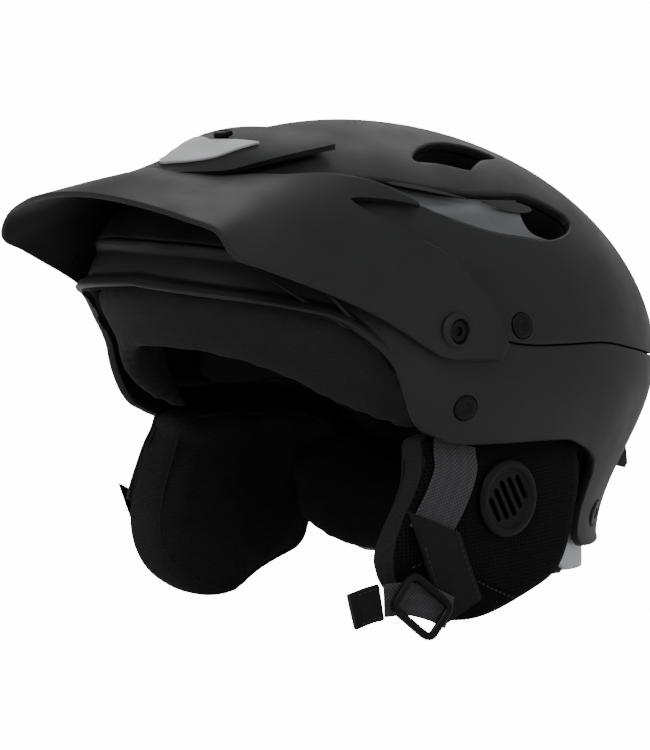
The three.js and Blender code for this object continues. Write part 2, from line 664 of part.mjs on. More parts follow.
// Square slider ring at the end of the left strap, with its webbing and pull tab.
const RING_PLACE = vec(102.5, -51, -106);
const ringFrame = frameAt(RING_PLACE, vec(0.98, -0.17, 0));
const ringTurn = new THREE.Matrix4().makeRotationZ(-38 * RAD);
function rectangle(halfLength, halfWidth, corner) {
  const s = new THREE.Shape();
  s.moveTo(-halfLength + corner, -halfWidth);
  s.lineTo(halfLength - corner, -halfWidth);
  s.quadraticCurveTo(halfLength, -halfWidth, halfLength, -halfWidth + corner);
  s.lineTo(halfLength, halfWidth - corner);
  s.quadraticCurveTo(halfLength, halfWidth, halfLength - corner, halfWidth);
  s.lineTo(-halfLength + corner, halfWidth);
  s.quadraticCurveTo(-halfLength, halfWidth, -halfLength, halfWidth - corner);
  s.lineTo(-halfLength, -halfWidth + corner);
  s.quadraticCurveTo(-halfLength, -halfWidth, -halfLength + corner, -halfWidth);
  return s;
}
const ringShape = rectangle(14.5, 11, 3);
ringShape.holes.push(rectangle(11, 7.4, 1.5));
const ring = new THREE.ExtrudeGeometry(ringShape, { depth: 3, bevelEnabled: false,
  curveSegments: 3 });
ring.translate(0, 0, -1.5);
ring.applyMatrix4(ringTurn).applyMatrix4(ringFrame);
add('strap_slider', ring, TRIM_BLACK);

// The chin strap's tail runs behind the ring and ends in the pull tab.
const STRAP_TAIL = [vec(99.4, -37, -111.5), vec(99.6, -48, -107), vec(97.4, -60, -104), vec(93.6,
  -71, -104.5)];
function band(path, width, thick, steps, outwards) {
  const curve = new THREE.CatmullRomCurve3(path);
  return plate(steps, 1, (c, r, side) => {
    const way = curve.getTangent(c / steps);
    const across = outwards.clone().cross(way).normalize();
    const lift = way.clone().cross(across);
    return curve.getPoint(c / steps)
      .addScaledVector(across, width * (r - 0.5))
      .addScaledVector(lift, thick * (0.5 - side));
  });
}
const OUT = vec(1, 0, 0);
add('strap_tail', band(STRAP_TAIL, 15, 1.5, 8, OUT), WEBBING);
add('pull_tab', band([vec(92.9, -72.8, -105), vec(91.6, -79, -106.3), vec(90, -87.5, -108.8)],
  17, 3, 4, OUT),
  SYNTHETIC_LEATHER);

// The right strap hangs outside its ear pad and ends in a flat buckle plate.
add('chin_strap_right', band([vec(-103, -20, -84), vec(-103, -20, -92), vec(-103, -20, -100)],
  16, 1.5, 3, OUT), WEBBING);
const buckle = new THREE.ExtrudeGeometry(rectangle(10, 6.2, 2.5), { depth: 4,
  bevelEnabled: false, curveSegments: 3 });
buckle.translate(0, 0, -2);
add('buckle_plate', buckle.applyMatrix4(frameAt(vec(-103, -20, -106.6), vec(-1, 0, 0))),
  TRIM_BLACK);

export default group;
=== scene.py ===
"""Whitewater helmet: surfaces, soft goods and finishes around the packed frame."""

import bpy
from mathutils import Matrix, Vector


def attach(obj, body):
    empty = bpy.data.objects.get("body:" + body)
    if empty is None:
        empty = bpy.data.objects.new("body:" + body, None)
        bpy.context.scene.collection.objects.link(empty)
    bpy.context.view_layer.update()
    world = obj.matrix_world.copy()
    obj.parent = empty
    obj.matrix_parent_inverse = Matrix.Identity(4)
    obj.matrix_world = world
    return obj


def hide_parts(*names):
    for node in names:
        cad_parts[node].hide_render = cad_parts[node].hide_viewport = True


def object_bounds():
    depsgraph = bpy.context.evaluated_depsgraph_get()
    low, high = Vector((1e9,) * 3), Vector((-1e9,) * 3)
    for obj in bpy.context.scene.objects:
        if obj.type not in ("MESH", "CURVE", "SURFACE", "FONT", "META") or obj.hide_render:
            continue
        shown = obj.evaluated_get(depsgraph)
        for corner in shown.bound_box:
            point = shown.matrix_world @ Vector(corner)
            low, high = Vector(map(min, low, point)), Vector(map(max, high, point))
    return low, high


bl_info = {
    "name": "Whitewater Helmet",
    "version": (1, 0, 0),
    "blender": (4, 5, 0),
    "location": "View3D > Sidebar > Helmet",
    "description": "Builds a visored paddling helmet with its pads, straps and finishes",
    "category": "Add Mesh",
}

import math

import bpy
import bmesh
import numpy as np
from bpy.props import FloatProperty, FloatVectorProperty, IntProperty, PointerProperty
from mathutils import Vector

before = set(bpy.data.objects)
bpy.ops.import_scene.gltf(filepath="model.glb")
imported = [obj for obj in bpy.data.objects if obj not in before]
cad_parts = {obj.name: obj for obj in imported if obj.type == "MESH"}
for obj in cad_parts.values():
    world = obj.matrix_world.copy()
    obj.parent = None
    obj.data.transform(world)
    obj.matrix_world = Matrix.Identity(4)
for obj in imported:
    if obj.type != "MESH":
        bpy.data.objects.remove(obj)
CAD_BOX = [list(corner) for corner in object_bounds()]
MM = 0.001  # surfaces are worked out in millimetres and stored in metres
SIDES = ((1, "left"), (-1, "right"))

# ---- The head form, as in the frame's design ------------------------------------------

HALF_WIDTH, HALF_LENGTH, CROWN = 112.0, 142.5, 105.0
LEAN = 0.165
FULL_FRONT, FULL_REAR = 2.04, 2.2  # exponents of the plan before and behind the ears
TUCK, TUCK_START, TUCK_DEPTH = 26.0, 5.0, 85.0
SHELL_WALL = 4.0
PIVOT_Y, PIVOT_Z = -38.0, 16.3
DIAL = np.array([0.0, 116.0, -99.5])

RIM = [
    (0, 36), (20, 33), (42, 27.5), (53, 20.5), (58, 11), (61.5, 0), (63.7, -15), (65.5, -25), (70, -32), (77, -36.5),
    (104, -37.5), (110, -41), (115, -45.5), (119, -52), (121, -62), (122, -80), (124.5, -88), (128, -90), (180, -86),
]
SEAM = [
    (0, 56), (20, 55), (45, 49), (60, 38), (70, 26), (80, 15), (84, 11.5), (88, 9), (93, 7.6), (100, 7), (112, 6),
    (124, 1), (136, -3.5), (180, -8),
]


def read_along(pairs, key):
    """Smooth value along rising (key, value) pairs: a cubic through them that never overshoots."""
    x = np.array([p[0] for p in pairs], float)
    y = np.array([p[1] for p in pairs], float)
    slope = np.diff(y) / np.diff(x)
    tangent = np.empty_like(y)
    tangent[1:-1] = (slope[:-1] + slope[1:]) / 2
    tangent[0], tangent[-1] = slope[0], slope[-1]
    flat = np.sign(slope[:-1]) * np.sign(slope[1:]) <= 0
    tangent[1:-1][flat] = 0
    limit = 3 * np.minimum(np.abs(np.append(slope, slope[-1])), np.abs(np.append(slope[0], slope)))
    tangent = np.clip(tangent, -limit, limit)
    key = np.clip(key, x[0], x[-1])
    i = np.clip(np.searchsorted(x, key, side="right") - 1, 0, len(x) - 2)
    h = x[i + 1] - x[i]
    t = (key - x[i]) / h
    a = (1 + 2 * t) * (1 - t) ** 2 * y[i] + t * (1 - t) ** 2 * h * tangent[i]
    return a + t * t * (3 - 2 * t) * y[i + 1] + t * t * (t - 1) * h * tangent[i + 1]


def tilt_of(z):
    """Tilt in degrees of a height on the head form."""
    z = np.asarray(z, float)
    return np.where(z > 0, np.degrees(np.arcsin(np.clip(z / CROWN, 0, 1))), z / (CROWN * math.radians(1)))


def tuck(z):
    """How far the wall draws in under the widest level: half a cosine wave of the depth."""
    return TUCK * (1 - np.cos(np.pi * np.clip((-z - TUCK_START) / TUCK_DEPTH, 0, 1))) / 2


def skin(heading, tilt, out=0.0):
    """Point of the head form: an oval plan |x|^n + |y|^n = 1, swept up as a quarter ellipse that leans forward, and
    swept down as a wall that tucks in. out moves it outwards."""
    heading, tilt, out = np.broadcast_arrays(np.asarray(heading, float), tilt, out)
    s, c = np.sin(np.radians(heading)), np.cos(np.radians(heading))
    full = np.where(c > 0, FULL_FRONT, FULL_REAR)
    reach = (np.abs(s) ** full + np.abs(c) ** full) ** (-1 / full)
    over = np.radians(np.maximum(tilt, 0))
    z = np.where(tilt > 0, (CROWN + out) * np.sin(over), CROWN * math.radians(1) * tilt)
    inset = np.where(tilt > 0, 0, tuck(z))
    x = (HALF_WIDTH + out - inset) * reach * s * np.cos(over)
    y = -(HALF_LENGTH + out - inset) * reach * c * np.cos(over) - LEAN * np.maximum(z, 0)
    return np.stack([x, y, z], -1)


def skin_normal(heading, tilt):
    """Outward normal of the head form, from two small steps along it."""
    p = skin(heading, tilt)
    return unit(np.cross(skin(heading + 0.5, tilt) - p, skin(heading, tilt + 0.5) - p))


def roominess(p, out=0.0):
    """Over 1 outside the head form moved out by out, under 1 inside it, at each point's own level."""
    z = p[..., 2]
    level = np.clip(z / (CROWN + out), 0, 0.985)
    shrink = np.sqrt(1 - level**2)
    inset = np.where(z > 0, 0, tuck(np.minimum(z, 0)))
    y = p[..., 1] + LEAN * np.maximum(z, 0)
    wide = np.abs(p[..., 0]) / ((HALF_WIDTH + out - inset) * shrink)
    long = np.abs(y) / ((HALF_LENGTH + out - inset) * shrink)
    full = np.where(y < 0, FULL_FRONT, FULL_REAR)
    return (wide**full + long**full) ** (1 / full)


def drop_on_skin(p, normal):
    """Slides points along normal until they lie on the head form: halves the step 40 times."""
    high = p + 40 * normal
    low = p - 40 * normal
    for _ in range(40):
        middle = (high + low) / 2
        inside = (roominess(middle) < 1)[..., None]
        low = np.where(inside, middle, low)
        high = np.where(inside, high, middle)
    return (high + low) / 2


def clear_of_skin(p, out, softness=0.012):
    """Moves points level outwards until they stand out clear of the head form, with a soft start."""
    size = 1 / roominess(p, out)
    factor = 1 + softness * np.log1p(np.exp(np.minimum((size - 1) / softness, 40)))
    lean = LEAN * np.maximum(p[..., 2], 0)
    return np.stack([p[..., 0] * factor, (p[..., 1] + lean) * factor - lean, p[..., 2]], -1)


def spline(points, t):
    """Catmull-Rom curve through points at whole-number parameters."""
    points = np.asarray(points, float)
    last = len(points) - 1
    t = np.clip(t, 0, last)
    i = np.clip(np.floor(t).astype(int), 0, last - 1)
    f = (t - i)[..., None]
    padded = np.concatenate([2 * points[:1] - points[1:2], points, 2 * points[-1:] - points[-2:-1]])
    a, b, c, d = padded[i], padded[i + 1], padded[i + 2], padded[i + 3]
    return 0.5 * (2 * b + (c - a) * f + (2 * a - 5 * b + 4 * c - d) * f**2 + (3 * b - a - 3 * c + d) * f**3)


def loop_spline(points, count):
    """Closed Catmull-Rom curve through points, as count evenly spaced places."""
    points = np.asarray(points, float)
    wrapped = np.concatenate([points[-2:], points, points[:3]])
    fine = spline(wrapped, np.linspace(2, len(points) + 2, 40 * len(points) + 1))
    step = np.linalg.norm(np.diff(fine, axis=0), axis=1)
    way = np.concatenate([[0], np.cumsum(step)])
    at = np.linspace(0, way[-1], count, endpoint=False)
    return np.stack([np.interp(at, way, fine[:, k]) for k in range(fine.shape[1])], -1)


def even_spline(points, count):
    """Open Catmull-Rom curve through points, as count evenly spaced places."""
    points = np.asarray(points, float)
    fine = spline(points, np.linspace(0, len(points) - 1, 60 * len(points)))
    way = np.concatenate([[0], np.cumsum(np.linalg.norm(np.diff(fine, axis=0), axis=1))])
    at = np.linspace(0, way[-1], count)
    return np.stack([np.interp(at, way, fine[:, k]) for k in range(fine.shape[1])], -1)


def unit(vectors):
    """Vectors scaled to length 1."""
    return vectors / np.linalg.norm(vectors, axis=-1, keepdims=True)


def way_along(path):
    """Distance from a path's start to each of its points."""
    return np.concatenate([[0], np.cumsum(np.linalg.norm(np.diff(path, axis=0), axis=1))])


def step_up(value, low, high):
    """Smooth step 3t^2 - 2t^3 from 0 at low to 1 at high."""
    t = np.clip((value - low) / (high - low), 0, 1)
    return t * t * (3 - 2 * t)


def squircle(half, power, count):
    """Ring of points of |a / half a|^power + |b / half b|^power = 1."""
    angle = np.linspace(0, 2 * np.pi, count, endpoint=False)
    c, s = np.cos(angle), np.sin(angle)
    reach = (np.abs(c) ** power + np.abs(s) ** power) ** (-1 / power)
    return np.stack([c * reach * half[0], s * reach * half[1]], -1)


def capped(rings):
    """Closes a tube of rings with a ring at the middle of each end."""
    first, last = rings[:1], rings[-1:]
    return np.concatenate([first.mean(1, keepdims=True) + 0 * first, rings,
                           last.mean(1, keepdims=True) + 0 * last])


def outward_sides(ring):
    """Outward unit vector at each point of a flat closed ring."""
    tangent = np.roll(ring, -1, 0) - np.roll(ring, 1, 0)
    side = unit(np.stack([tangent[:, 1], -tangent[:, 0]], -1))
    area = np.sum(ring[:, 0] * np.roll(ring[:, 1], -1) - np.roll(ring[:, 0], -1) * ring[:, 1])
    return side * np.sign(area)


def flat_ring(outline, normal, count):
    """A smooth closed ring through an outline, flat against a normal: its middle, its axes and its flat points."""
    e1, e2, n = axes_at(normal)
    outline = np.asarray(outline, float)
    middle = outline.mean(0)
    flat = np.stack([(outline - middle) @ e1, (outline - middle) @ e2], -1)
    return middle, e1, e2, n, loop_spline(flat, count)


def paired(points, side):
    """Points as they are on the left, mirrored across x on the right."""
    return np.asarray(points, float) * [side, 1, 1]


def axes_at(normal):
    """Two unit vectors across a normal: the first level, the second uphill."""
    n = np.asarray(normal, float) / np.linalg.norm(normal)
    e1 = np.cross([0, 0, 1], n)
    e1 /= np.linalg.norm(e1)
    return e1, np.cross(n, e1), n


# ---- Mesh building ---------------------------------------------------------------------


def grid_faces(rows, columns, around=False, over=False):
    """Quads of a rows x columns grid of vertices, closed around the rows or over the columns."""
    r = np.arange(rows if over else rows - 1)
    c = np.arange(columns if around else columns - 1)
    r, c = np.meshgrid(r, c, indexing="ij")
    r1, c1 = (r + 1) % rows, (c + 1) % columns
    return np.stack([r * columns + c, r * columns + c1, r1 * columns + c1, r1 * columns + c], -1).reshape(-1, 4)


def make_mesh(name, points, faces, uv=None):
    """A mesh object from points in millimetres, with its own uv in millimetres, doubles merged and faces outwards."""
    mesh = bpy.data.meshes.new(name)
    mesh.from_pydata((np.asarray(points).reshape(-1, 3) * MM).tolist(), [], np.asarray(faces).tolist())
    if uv is not None:
        layer = mesh.uv_layers.new(name="Cloth")
        corners = np.empty(len(mesh.loops), np.int32)
        mesh.loops.foreach_get("vertex_index", corners)
        layer.data.foreach_set("uv", np.asarray(uv, float).reshape(-1, 2)[corners].ravel())
    obj = bpy.data.objects.new(name, mesh)
    bpy.context.scene.collection.objects.link(obj)
    tidy_mesh(obj)
    return obj


def tidy_mesh(obj, merge=2e-6):
    """Merges doubles, drops faces with no area, and points the faces outwards."""
    work = bmesh.new()
    work.from_mesh(obj.data)
    bmesh.ops.remove_doubles(work, verts=work.verts, dist=merge)
    bmesh.ops.dissolve_degenerate(work, edges=work.edges, dist=merge / 2)
    bmesh.ops.recalc_face_normals(work, faces=work.faces)
    work.to_mesh(obj.data)
    work.free()
    obj.data.update()


def smooth(obj, angle=40):
    """Smooth shading that breaks where faces meet at more than angle degrees."""
    obj.data.shade_smooth()
    obj.data.set_sharp_from_angle(angle=math.radians(angle))


def baked(obj):
    """Applies every modifier of obj into its mesh."""
    depsgraph = bpy.context.evaluated_depsgraph_get()
    done = bpy.data.meshes.new_from_object(obj.evaluated_get(depsgraph))
    old = obj.data
    obj.modifiers.clear()
    obj.data = done
    done.name = obj.name
    bpy.data.meshes.remove(old)
    return obj


def faced_up(obj):
    """Turns a sheet over if its first face looks down."""
    if obj.data.polygons[0].normal.z < 0:
        obj.data.flip_normals()
    return obj


def thicken(obj, wall, edge=0.0, segments=2):
    """Gives a sheet its wall, inwards, and rounds its rim."""
    solid = obj.modifiers.new("Wall", "SOLIDIFY")
    solid.thickness = wall * MM
    solid.offset = -1
    solid.use_even_offset = True
    if edge:
        bevel = obj.modifiers.new("Rim", "BEVEL")
        bevel.width = edge * MM
        bevel.segments = segments
        bevel.limit_method = "ANGLE"
        bevel.angle_limit = math.radians(55)
        bevel.use_clamp_overlap = False
    return baked(obj)


def carve(obj, cutters, operation="DIFFERENCE"):
    """Cuts obj with closed meshes, which are then deleted."""
    for cutter in cutters:
        tool = obj.modifiers.new("Cut", "BOOLEAN")
        tool.operation = operation
        tool.solver = "EXACT"
        tool.object = cutter
    baked(obj)
    for cutter in cutters:
        bpy.data.objects.remove(cutter)
    return obj


def lathe(name, profile, place, normal, sides=64):
    """Surface of revolution: profile (radius, height) pairs turned about normal at place."""
    e1, e2, n = axes_at(normal)
    radius = np.array([p[0] for p in profile], float)[:, None]
    height = np.array([p[1] for p in profile], float)[:, None]
    angle = np.linspace(0, 2 * np.pi, sides, endpoint=False)[None, :]
    points = np.asarray(place, float) + (radius * np.cos(angle))[..., None] * e1
    points = points + (radius * np.sin(angle))[..., None] * e2 + (height * np.ones_like(angle))[..., None] * n
    return make_mesh(name, points, grid_faces(len(profile), sides, around=True))


def rounded(profile, radius=0.4, steps=3):
    """Rounds the corners of a (radius, height) profile with short quadratic arcs."""
    points = np.asarray(profile, float)
    out = [points[0]]
    for a, b, c in zip(points[:-2], points[1:-1], points[2:]):
        la, lc = np.linalg.norm(a - b), np.linalg.norm(c - b)
        r = min(radius, la / 2.2, lc / 2.2)
        p, q = b + (a - b) / la * r, b + (c - b) / lc * r
        for t in np.linspace(0, 1, steps + 1):
            out.append((1 - t) ** 2 * p + 2 * t * (1 - t) * b + t**2 * q)
    out.append(points[-1])
    return [tuple(p) for p in out]


def hole_cutter(outline, normal, depth, flare=0.8, lift=4.0, count=140, mirror=False):
    """Closed cutter that follows the head form: rings of the outline, grown at the surface so that the edge comes out
    rounded, joined from lift mm above the form to depth mm below it."""
    middle, e1, e2, n, ring = flat_ring(outline, normal, count)
    side = outward_sides(ring)
    rings = []
    for grow, level in [(flare, lift), (flare, 0.05), (0.45 * flare, -0.22 * flare), (0.12 * flare, -0.6 * flare),
                        (0, -1.1 * flare), (0, -depth)]:
        q = ring + grow * side
        on_form = drop_on_skin(middle + q[:, :1] * e1 + q[:, 1:] * e2, n)
        rings.append(on_form + level * n)
    rings = capped(np.array(rings))
    return make_mesh("cutter", paired(rings, -1 if mirror else 1), grid_faces(len(rings), count, around=True))


def piece(obj, body, look, nodes=(), angle=40):
    """Finishes a piece: shading, finish, the body it rides on and the nodes that it stands for."""
    smooth(obj, angle)
    obj.data.materials.clear()
    obj.data.materials.append(look)
    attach(obj, body)
    if nodes:
        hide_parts(*nodes)
    return obj


# ---- Shader groups ---------------------------------------------------------------------


def node(tree, kind, inputs=None, **settings):
    """Adds a node; inputs are values or sockets to link."""
    made = tree.nodes.new(kind)
    for key, value in settings.items():
        setattr(made, key, value)
    for key, value in (inputs or {}).items():
        if isinstance(value, bpy.types.NodeSocket):
            tree.links.new(value, made.inputs[key])
        else:
            made.inputs[key].default_value = value
    return made


def maths(tree, operation, *values):
    """Output of a Math node fed by values or sockets."""
    return node(tree, "ShaderNodeMath", dict(enumerate(values)), operation=operation).outputs[0]


def ramp(tree, value, low, high, to_low=0.0, to_high=1.0):
    """Smooth step of value from low to high, put out as to_low to to_high."""
    made = node(
        tree,
        "ShaderNodeMapRange",
        {"Value": value, "From Min": low, "From Max": high, "To Min": to_low, "To Max": to_high},
        interpolation_type="SMOOTHSTEP",
    )
    return made.outputs["Result"]


def blended(tree, factor, first, second):
    """Colour mix of two colours or colour sockets."""
    made = node(tree, "ShaderNodeMix", data_type="RGBA")
    for index, value in ((0, factor), (6, first), (7, second)):
        if isinstance(value, bpy.types.NodeSocket):
            tree.links.new(value, made.inputs[index])
        else:
            made.inputs[index].default_value = value
    return made.outputs[2]


def noise(tree, vector, scale, detail=2.0, roughness=0.5):
    """Noise value over a vector."""
    inputs = {"Vector": vector, "Scale": scale, "Detail": detail, "Roughness": roughness}
    return node(tree, "ShaderNodeTexNoise", inputs).outputs["Fac"]


def new_group(name, inputs, outputs):
    """An empty group with vector and number inputs, and its input and output nodes."""
    tree = bpy.data.node_groups.new(name, "ShaderNodeTree")
    for label, default in inputs:
        kind = "NodeSocketVector" if default is None else "NodeSocketFloat"
        socket = tree.interface.new_socket(name=label, in_out="INPUT", socket_type=kind)
        if default is not None:
            socket.default_value = default
    for label in outputs:
        tree.interface.new_socket(name=label, in_out="OUTPUT", socket_type="NodeSocketFloat")
    return tree, tree.nodes.new("NodeGroupInput").outputs, tree.nodes.new("NodeGroupOutput").inputs


def grain_group():
    """Spark-eroded mould texture: fine cells for the height, broad clouds for the tone, sparse specks of dust."""
    tree, given, put = new_group("Moulded Grain", [("Vector", None), ("Size", 0.6)], ["Height", "Tone", "Specks"])
    scale = maths(tree, "DIVIDE", 1000.0, given["Size"])
    fine = noise(tree, given["Vector"], scale, 3.0, 0.6)
    cells = node(tree, "ShaderNodeTexVoronoi", {"Vector": given["Vector"], "Scale": scale}).outputs["Distance"]
    tree.links.new(maths(tree, "ADD", fine, maths(tree, "MULTIPLY", cells, 0.5)), put["Height"])
    tree.links.new(noise(tree, given["Vector"], 34.0, 4.0), put["Tone"])
    dust = noise(tree, given["Vector"], 820.0, 1.0)
    patches = noise(tree, given["Vector"], 60.0, 2.0)
    both = maths(tree, "MULTIPLY", ramp(tree, dust, 0.68, 0.78), ramp(tree, patches, 0.45, 0.7))
    tree.links.new(both, put["Specks"])
    return tree


def wear_group():
    """Rubbed edges: where the surface is pointed, broken up by noise."""
    tree, given, put = new_group("Worn Edges", [("Vector", None), ("Amount", 0.5)], ["Mask"])
    point = node(tree, "ShaderNodeNewGeometry").outputs["Pointiness"]
    edge = ramp(tree, point, 0.53, 0.62)
    rough = ramp(tree, noise(tree, given["Vector"], 160.0, 4.0), 0.35, 0.7)
    tree.links.new(maths(tree, "MULTIPLY", maths(tree, "MULTIPLY", edge, rough), given["Amount"]), put["Mask"])
    return tree


def weave_group():
    """Plain weave over a vector in millimetres: warp and weft are half waves, and the sign of the product of two
    slower waves says which one lies on top."""
    tree, given, put = new_group("Plain Weave", [("Vector", None), ("Pitch", 1.0)], ["Height", "Tone"])
    axes = node(tree, "ShaderNodeSeparateXYZ", {0: given["Vector"]}).outputs
    turn = maths(tree, "DIVIDE", math.pi, given["Pitch"])
    u, v = maths(tree, "MULTIPLY", axes[0], turn), maths(tree, "MULTIPLY", axes[1], turn)
    su, sv = maths(tree, "SINE", u), maths(tree, "SINE", v)
    warp, weft = maths(tree, "ABSOLUTE", su), maths(tree, "ABSOLUTE", sv)
    over = ramp(tree, maths(tree, "MULTIPLY", su, sv), -0.35, 0.35)
    high = maths(tree, "MULTIPLY", warp, over)
    low = maths(tree, "MULTIPLY", weft, maths(tree, "SUBTRACT", 1.0, over))
    fibre = noise(tree, given["Vector"], 3.2, 2.0)
    height = maths(tree, "ADD", maths(tree, "ADD", high, low), maths(tree, "MULTIPLY", fibre, 0.25))
    tree.links.new(height, put["Height"])
    tree.links.new(maths(tree, "ADD", maths(tree, "MULTIPLY", over, 0.4), maths(tree, "MULTIPLY", fibre, 0.6)),
                   put["Tone"])
    return tree


def knit_group():
    """Fleecy knit over a vector in millimetres: rows of loops under a layer of short fibres."""
    tree, given, put = new_group("Fleecy Knit", [("Vector", None), ("Pitch", 1.2)], ["Height", "Tone"])
    axes = node(tree, "ShaderNodeSeparateXYZ", {0: given["Vector"]}).outputs
    turn = maths(tree, "DIVIDE", math.pi, given["Pitch"])
    stray = maths(tree, "MULTIPLY", noise(tree, given["Vector"], 0.55, 2.0), 1.6)
    row = maths(tree, "MULTIPLY", maths(tree, "ADD", axes[2], stray), turn)
    row = maths(tree, "ABSOLUTE", maths(tree, "SINE", row))
    along = maths(tree, "MULTIPLY", maths(tree, "ADD", maths(tree, "ADD", axes[0], axes[1]), stray), turn)
    loop = maths(tree, "ABSOLUTE", maths(tree, "SINE", maths(tree, "MULTIPLY", along, 1.3)))
    fibre = noise(tree, given["Vector"], 2.6, 4.0, 0.7)
    ribs = maths(tree, "ADD", maths(tree, "MULTIPLY", row, 0.55), maths(tree, "MULTIPLY", loop, 0.25))
    tree.links.new(maths(tree, "ADD", ribs, maths(tree, "MULTIPLY", fibre, 0.9)), put["Height"])
    # The tone is made from the same rows, loops and fibres as the height, so the colour it drives is darker in the
    # knit's valleys: painted shade.
    tree.links.new(maths(tree, "ADD", maths(tree, "MULTIPLY", ribs, 0.35), maths(tree, "MULTIPLY", fibre, 0.75)),
                   put["Tone"])
    return tree


def use_group(tree, make, inputs):
    """Places a shared group, building it the first time."""
    names = {grain_group: "Moulded Grain", wear_group: "Worn Edges", weave_group: "Plain Weave",
             knit_group: "Fleecy Knit"}
    made = tree.nodes.new("ShaderNodeGroup")
    made.node_tree = bpy.data.node_groups.get(names[make]) or make()
    for key, value in inputs.items():
        if isinstance(value, bpy.types.NodeSocket):
            tree.links.new(value, made.inputs[key])
        else:
            made.inputs[key].default_value = value
    return made.outputs


# ---- Finishes --------------------------------------------------------------------------


def rgba(colour, factor=1.0):
    """A colour times factor, with full alpha."""
    return (*(min(c * factor, 1.0) for c in colour[:3]), 1.0)


def new_material(name):
    """A material with one Principled shader; gives it back with its tree and shader."""
    made = bpy.data.materials.get(name)
    if made:
        return made, None, None
    made = bpy.data.materials.new(name)
    made.use_nodes = True
    return made, made.node_tree, made.node_tree.nodes["Principled BSDF"]


def bump(tree, shader, height, depth):
    """Feeds a height through a Bump node to the shader's normal; depth in millimetres."""
    made = node(tree, "ShaderNodeBump", {"Height": height, "Strength": 1.0, "Distance": depth * MM})
    tree.links.new(made.outputs["Normal"], shader.inputs["Normal"])


def plastic(name, colour, roughness=0.5, size=0.5, depth=0.03, wear=0.5, specular=0.5, dust=0.35):
    """Moulded plastic: grain in the bump, cloudy tone, dust specks and rubbed edges."""
    made, tree, shader = new_material(name)
    if tree is None:
        return made
    place = node(tree, "ShaderNodeTexCoord").outputs["Object"]
    grain = use_group(tree, grain_group, {"Vector": place, "Size": size})
    worn = use_group(tree, wear_group, {"Vector": place, "Amount": wear})["Mask"]
    tone = ramp(tree, grain["Tone"], 0.3, 0.7)
    base = blended(tree, tone, rgba(colour, 0.84), rgba(colour, 1.14))
    base = blended(tree, maths(tree, "MULTIPLY", grain["Specks"], dust), base, rgba(colour, 3.2))
    tree.links.new(blended(tree, worn, base, rgba(colour, 2.4)), shader.inputs["Base Color"])
    rough = maths(tree, "ADD", ramp(tree, grain["Tone"], 0.25, 0.75, roughness - 0.06, roughness + 0.07),
                  maths(tree, "MULTIPLY", worn, -0.12))
    tree.links.new(rough, shader.inputs["Roughness"])
    shader.inputs["Specular IOR Level"].default_value = specular
    bump(tree, shader, grain["Height"], depth)
    return made


def foam(name, colour):
    """Closed-cell foam: rounded cells, slightly open at the surface."""
    made, tree, shader = new_material(name)
    if tree is None:
        return made
    place = node(tree, "ShaderNodeTexCoord").outputs["Object"]
    cells = node(tree, "ShaderNodeTexVoronoi", {"Vector": place, "Scale": 620.0}).outputs["Distance"]
    clouds = noise(tree, place, 90.0, 3.0)
    tree.links.new(blended(tree, cells, rgba(colour, 1.5), rgba(colour, 0.5)), shader.inputs["Base Color"])
    tree.links.new(ramp(tree, clouds, 0.3, 0.7, 0.82, 0.97), shader.inputs["Roughness"])
    shader.inputs["Specular IOR Level"].default_value = 0.25
    bump(tree, shader, cells, 0.35)
    return made


def millimetres(tree):
    """The object's own coordinates, scaled from metres to millimetres."""
    place = node(tree, "ShaderNodeTexCoord").outputs["Object"]
    return node(tree, "ShaderNodeMapping", {"Vector": place, "Scale": (1000, 1000, 1000)}).outputs["Vector"]


def cloth_shader(shader, sheen, specular):
    """Sheen and a low shine, as cloth has."""
    shader.inputs["Sheen Weight"].default_value = sheen
    shader.inputs["Sheen Roughness"].default_value = 0.45
    shader.inputs["Specular IOR Level"].default_value = specular


def knit(name, colour, pitch=1.0, depth=0.24, sheen=0.02):
    """Fleecy knit that follows the object's own axes."""
    made, tree, shader = new_material(name)
    if tree is None:
        return made
    place = millimetres(tree)
    fleece = use_group(tree, knit_group, {"Vector": place, "Pitch": pitch})
    clouds = noise(tree, place, 0.06, 3.0)
    # Darker where the fleece tone is low, which is in the knit's valleys: painted shade.
    base = blended(tree, ramp(tree, fleece["Tone"], 0.25, 0.85), rgba(colour, 0.5), rgba(colour, 1.5))
    tree.links.new(blended(tree, ramp(tree, clouds, 0.35, 0.7, 0.0, 0.4), base, rgba(colour, 0.8)),
                   shader.inputs["Base Color"])
    tree.links.new(ramp(tree, fleece["Tone"], 0.2, 0.8, 0.82, 1.0), shader.inputs["Roughness"])
    cloth_shader(shader, sheen, 0.08)
    bump(tree, shader, fleece["Height"], depth)
    return made


def webbing(name, colour, pitch=0.95, depth=0.2):
    """Woven strap: a plain weave along the strap's own Cloth map, with darker selvedges."""
    made, tree, shader = new_material(name)
    if tree is None:
        return made
    flat = node(tree, "ShaderNodeUVMap", uv_map="Cloth").outputs["UV"]
    woven = use_group(tree, weave_group, {"Vector": flat, "Pitch": pitch})
    ribs = maths(tree, "SINE", maths(tree, "MULTIPLY", node(
        tree, "ShaderNodeSeparateXYZ", {0: flat}).outputs[0], 2 * math.pi / 5.2))
    base = blended(tree, ramp(tree, woven["Tone"], 0.2, 0.8), rgba(colour, 0.5), rgba(colour, 1.35))
    base = blended(tree, ramp(tree, ribs, -0.9, 0.9, 0.0, 0.25), base, rgba(colour, 0.55))
    tree.links.new(base, shader.inputs["Base Color"])
    tree.links.new(ramp(tree, woven["Height"], 0.2, 1.2, 0.92, 0.7), shader.inputs["Roughness"])
    cloth_shader(shader, 0.05, 0.2)
    bump(tree, shader, woven["Height"], depth)
    return made


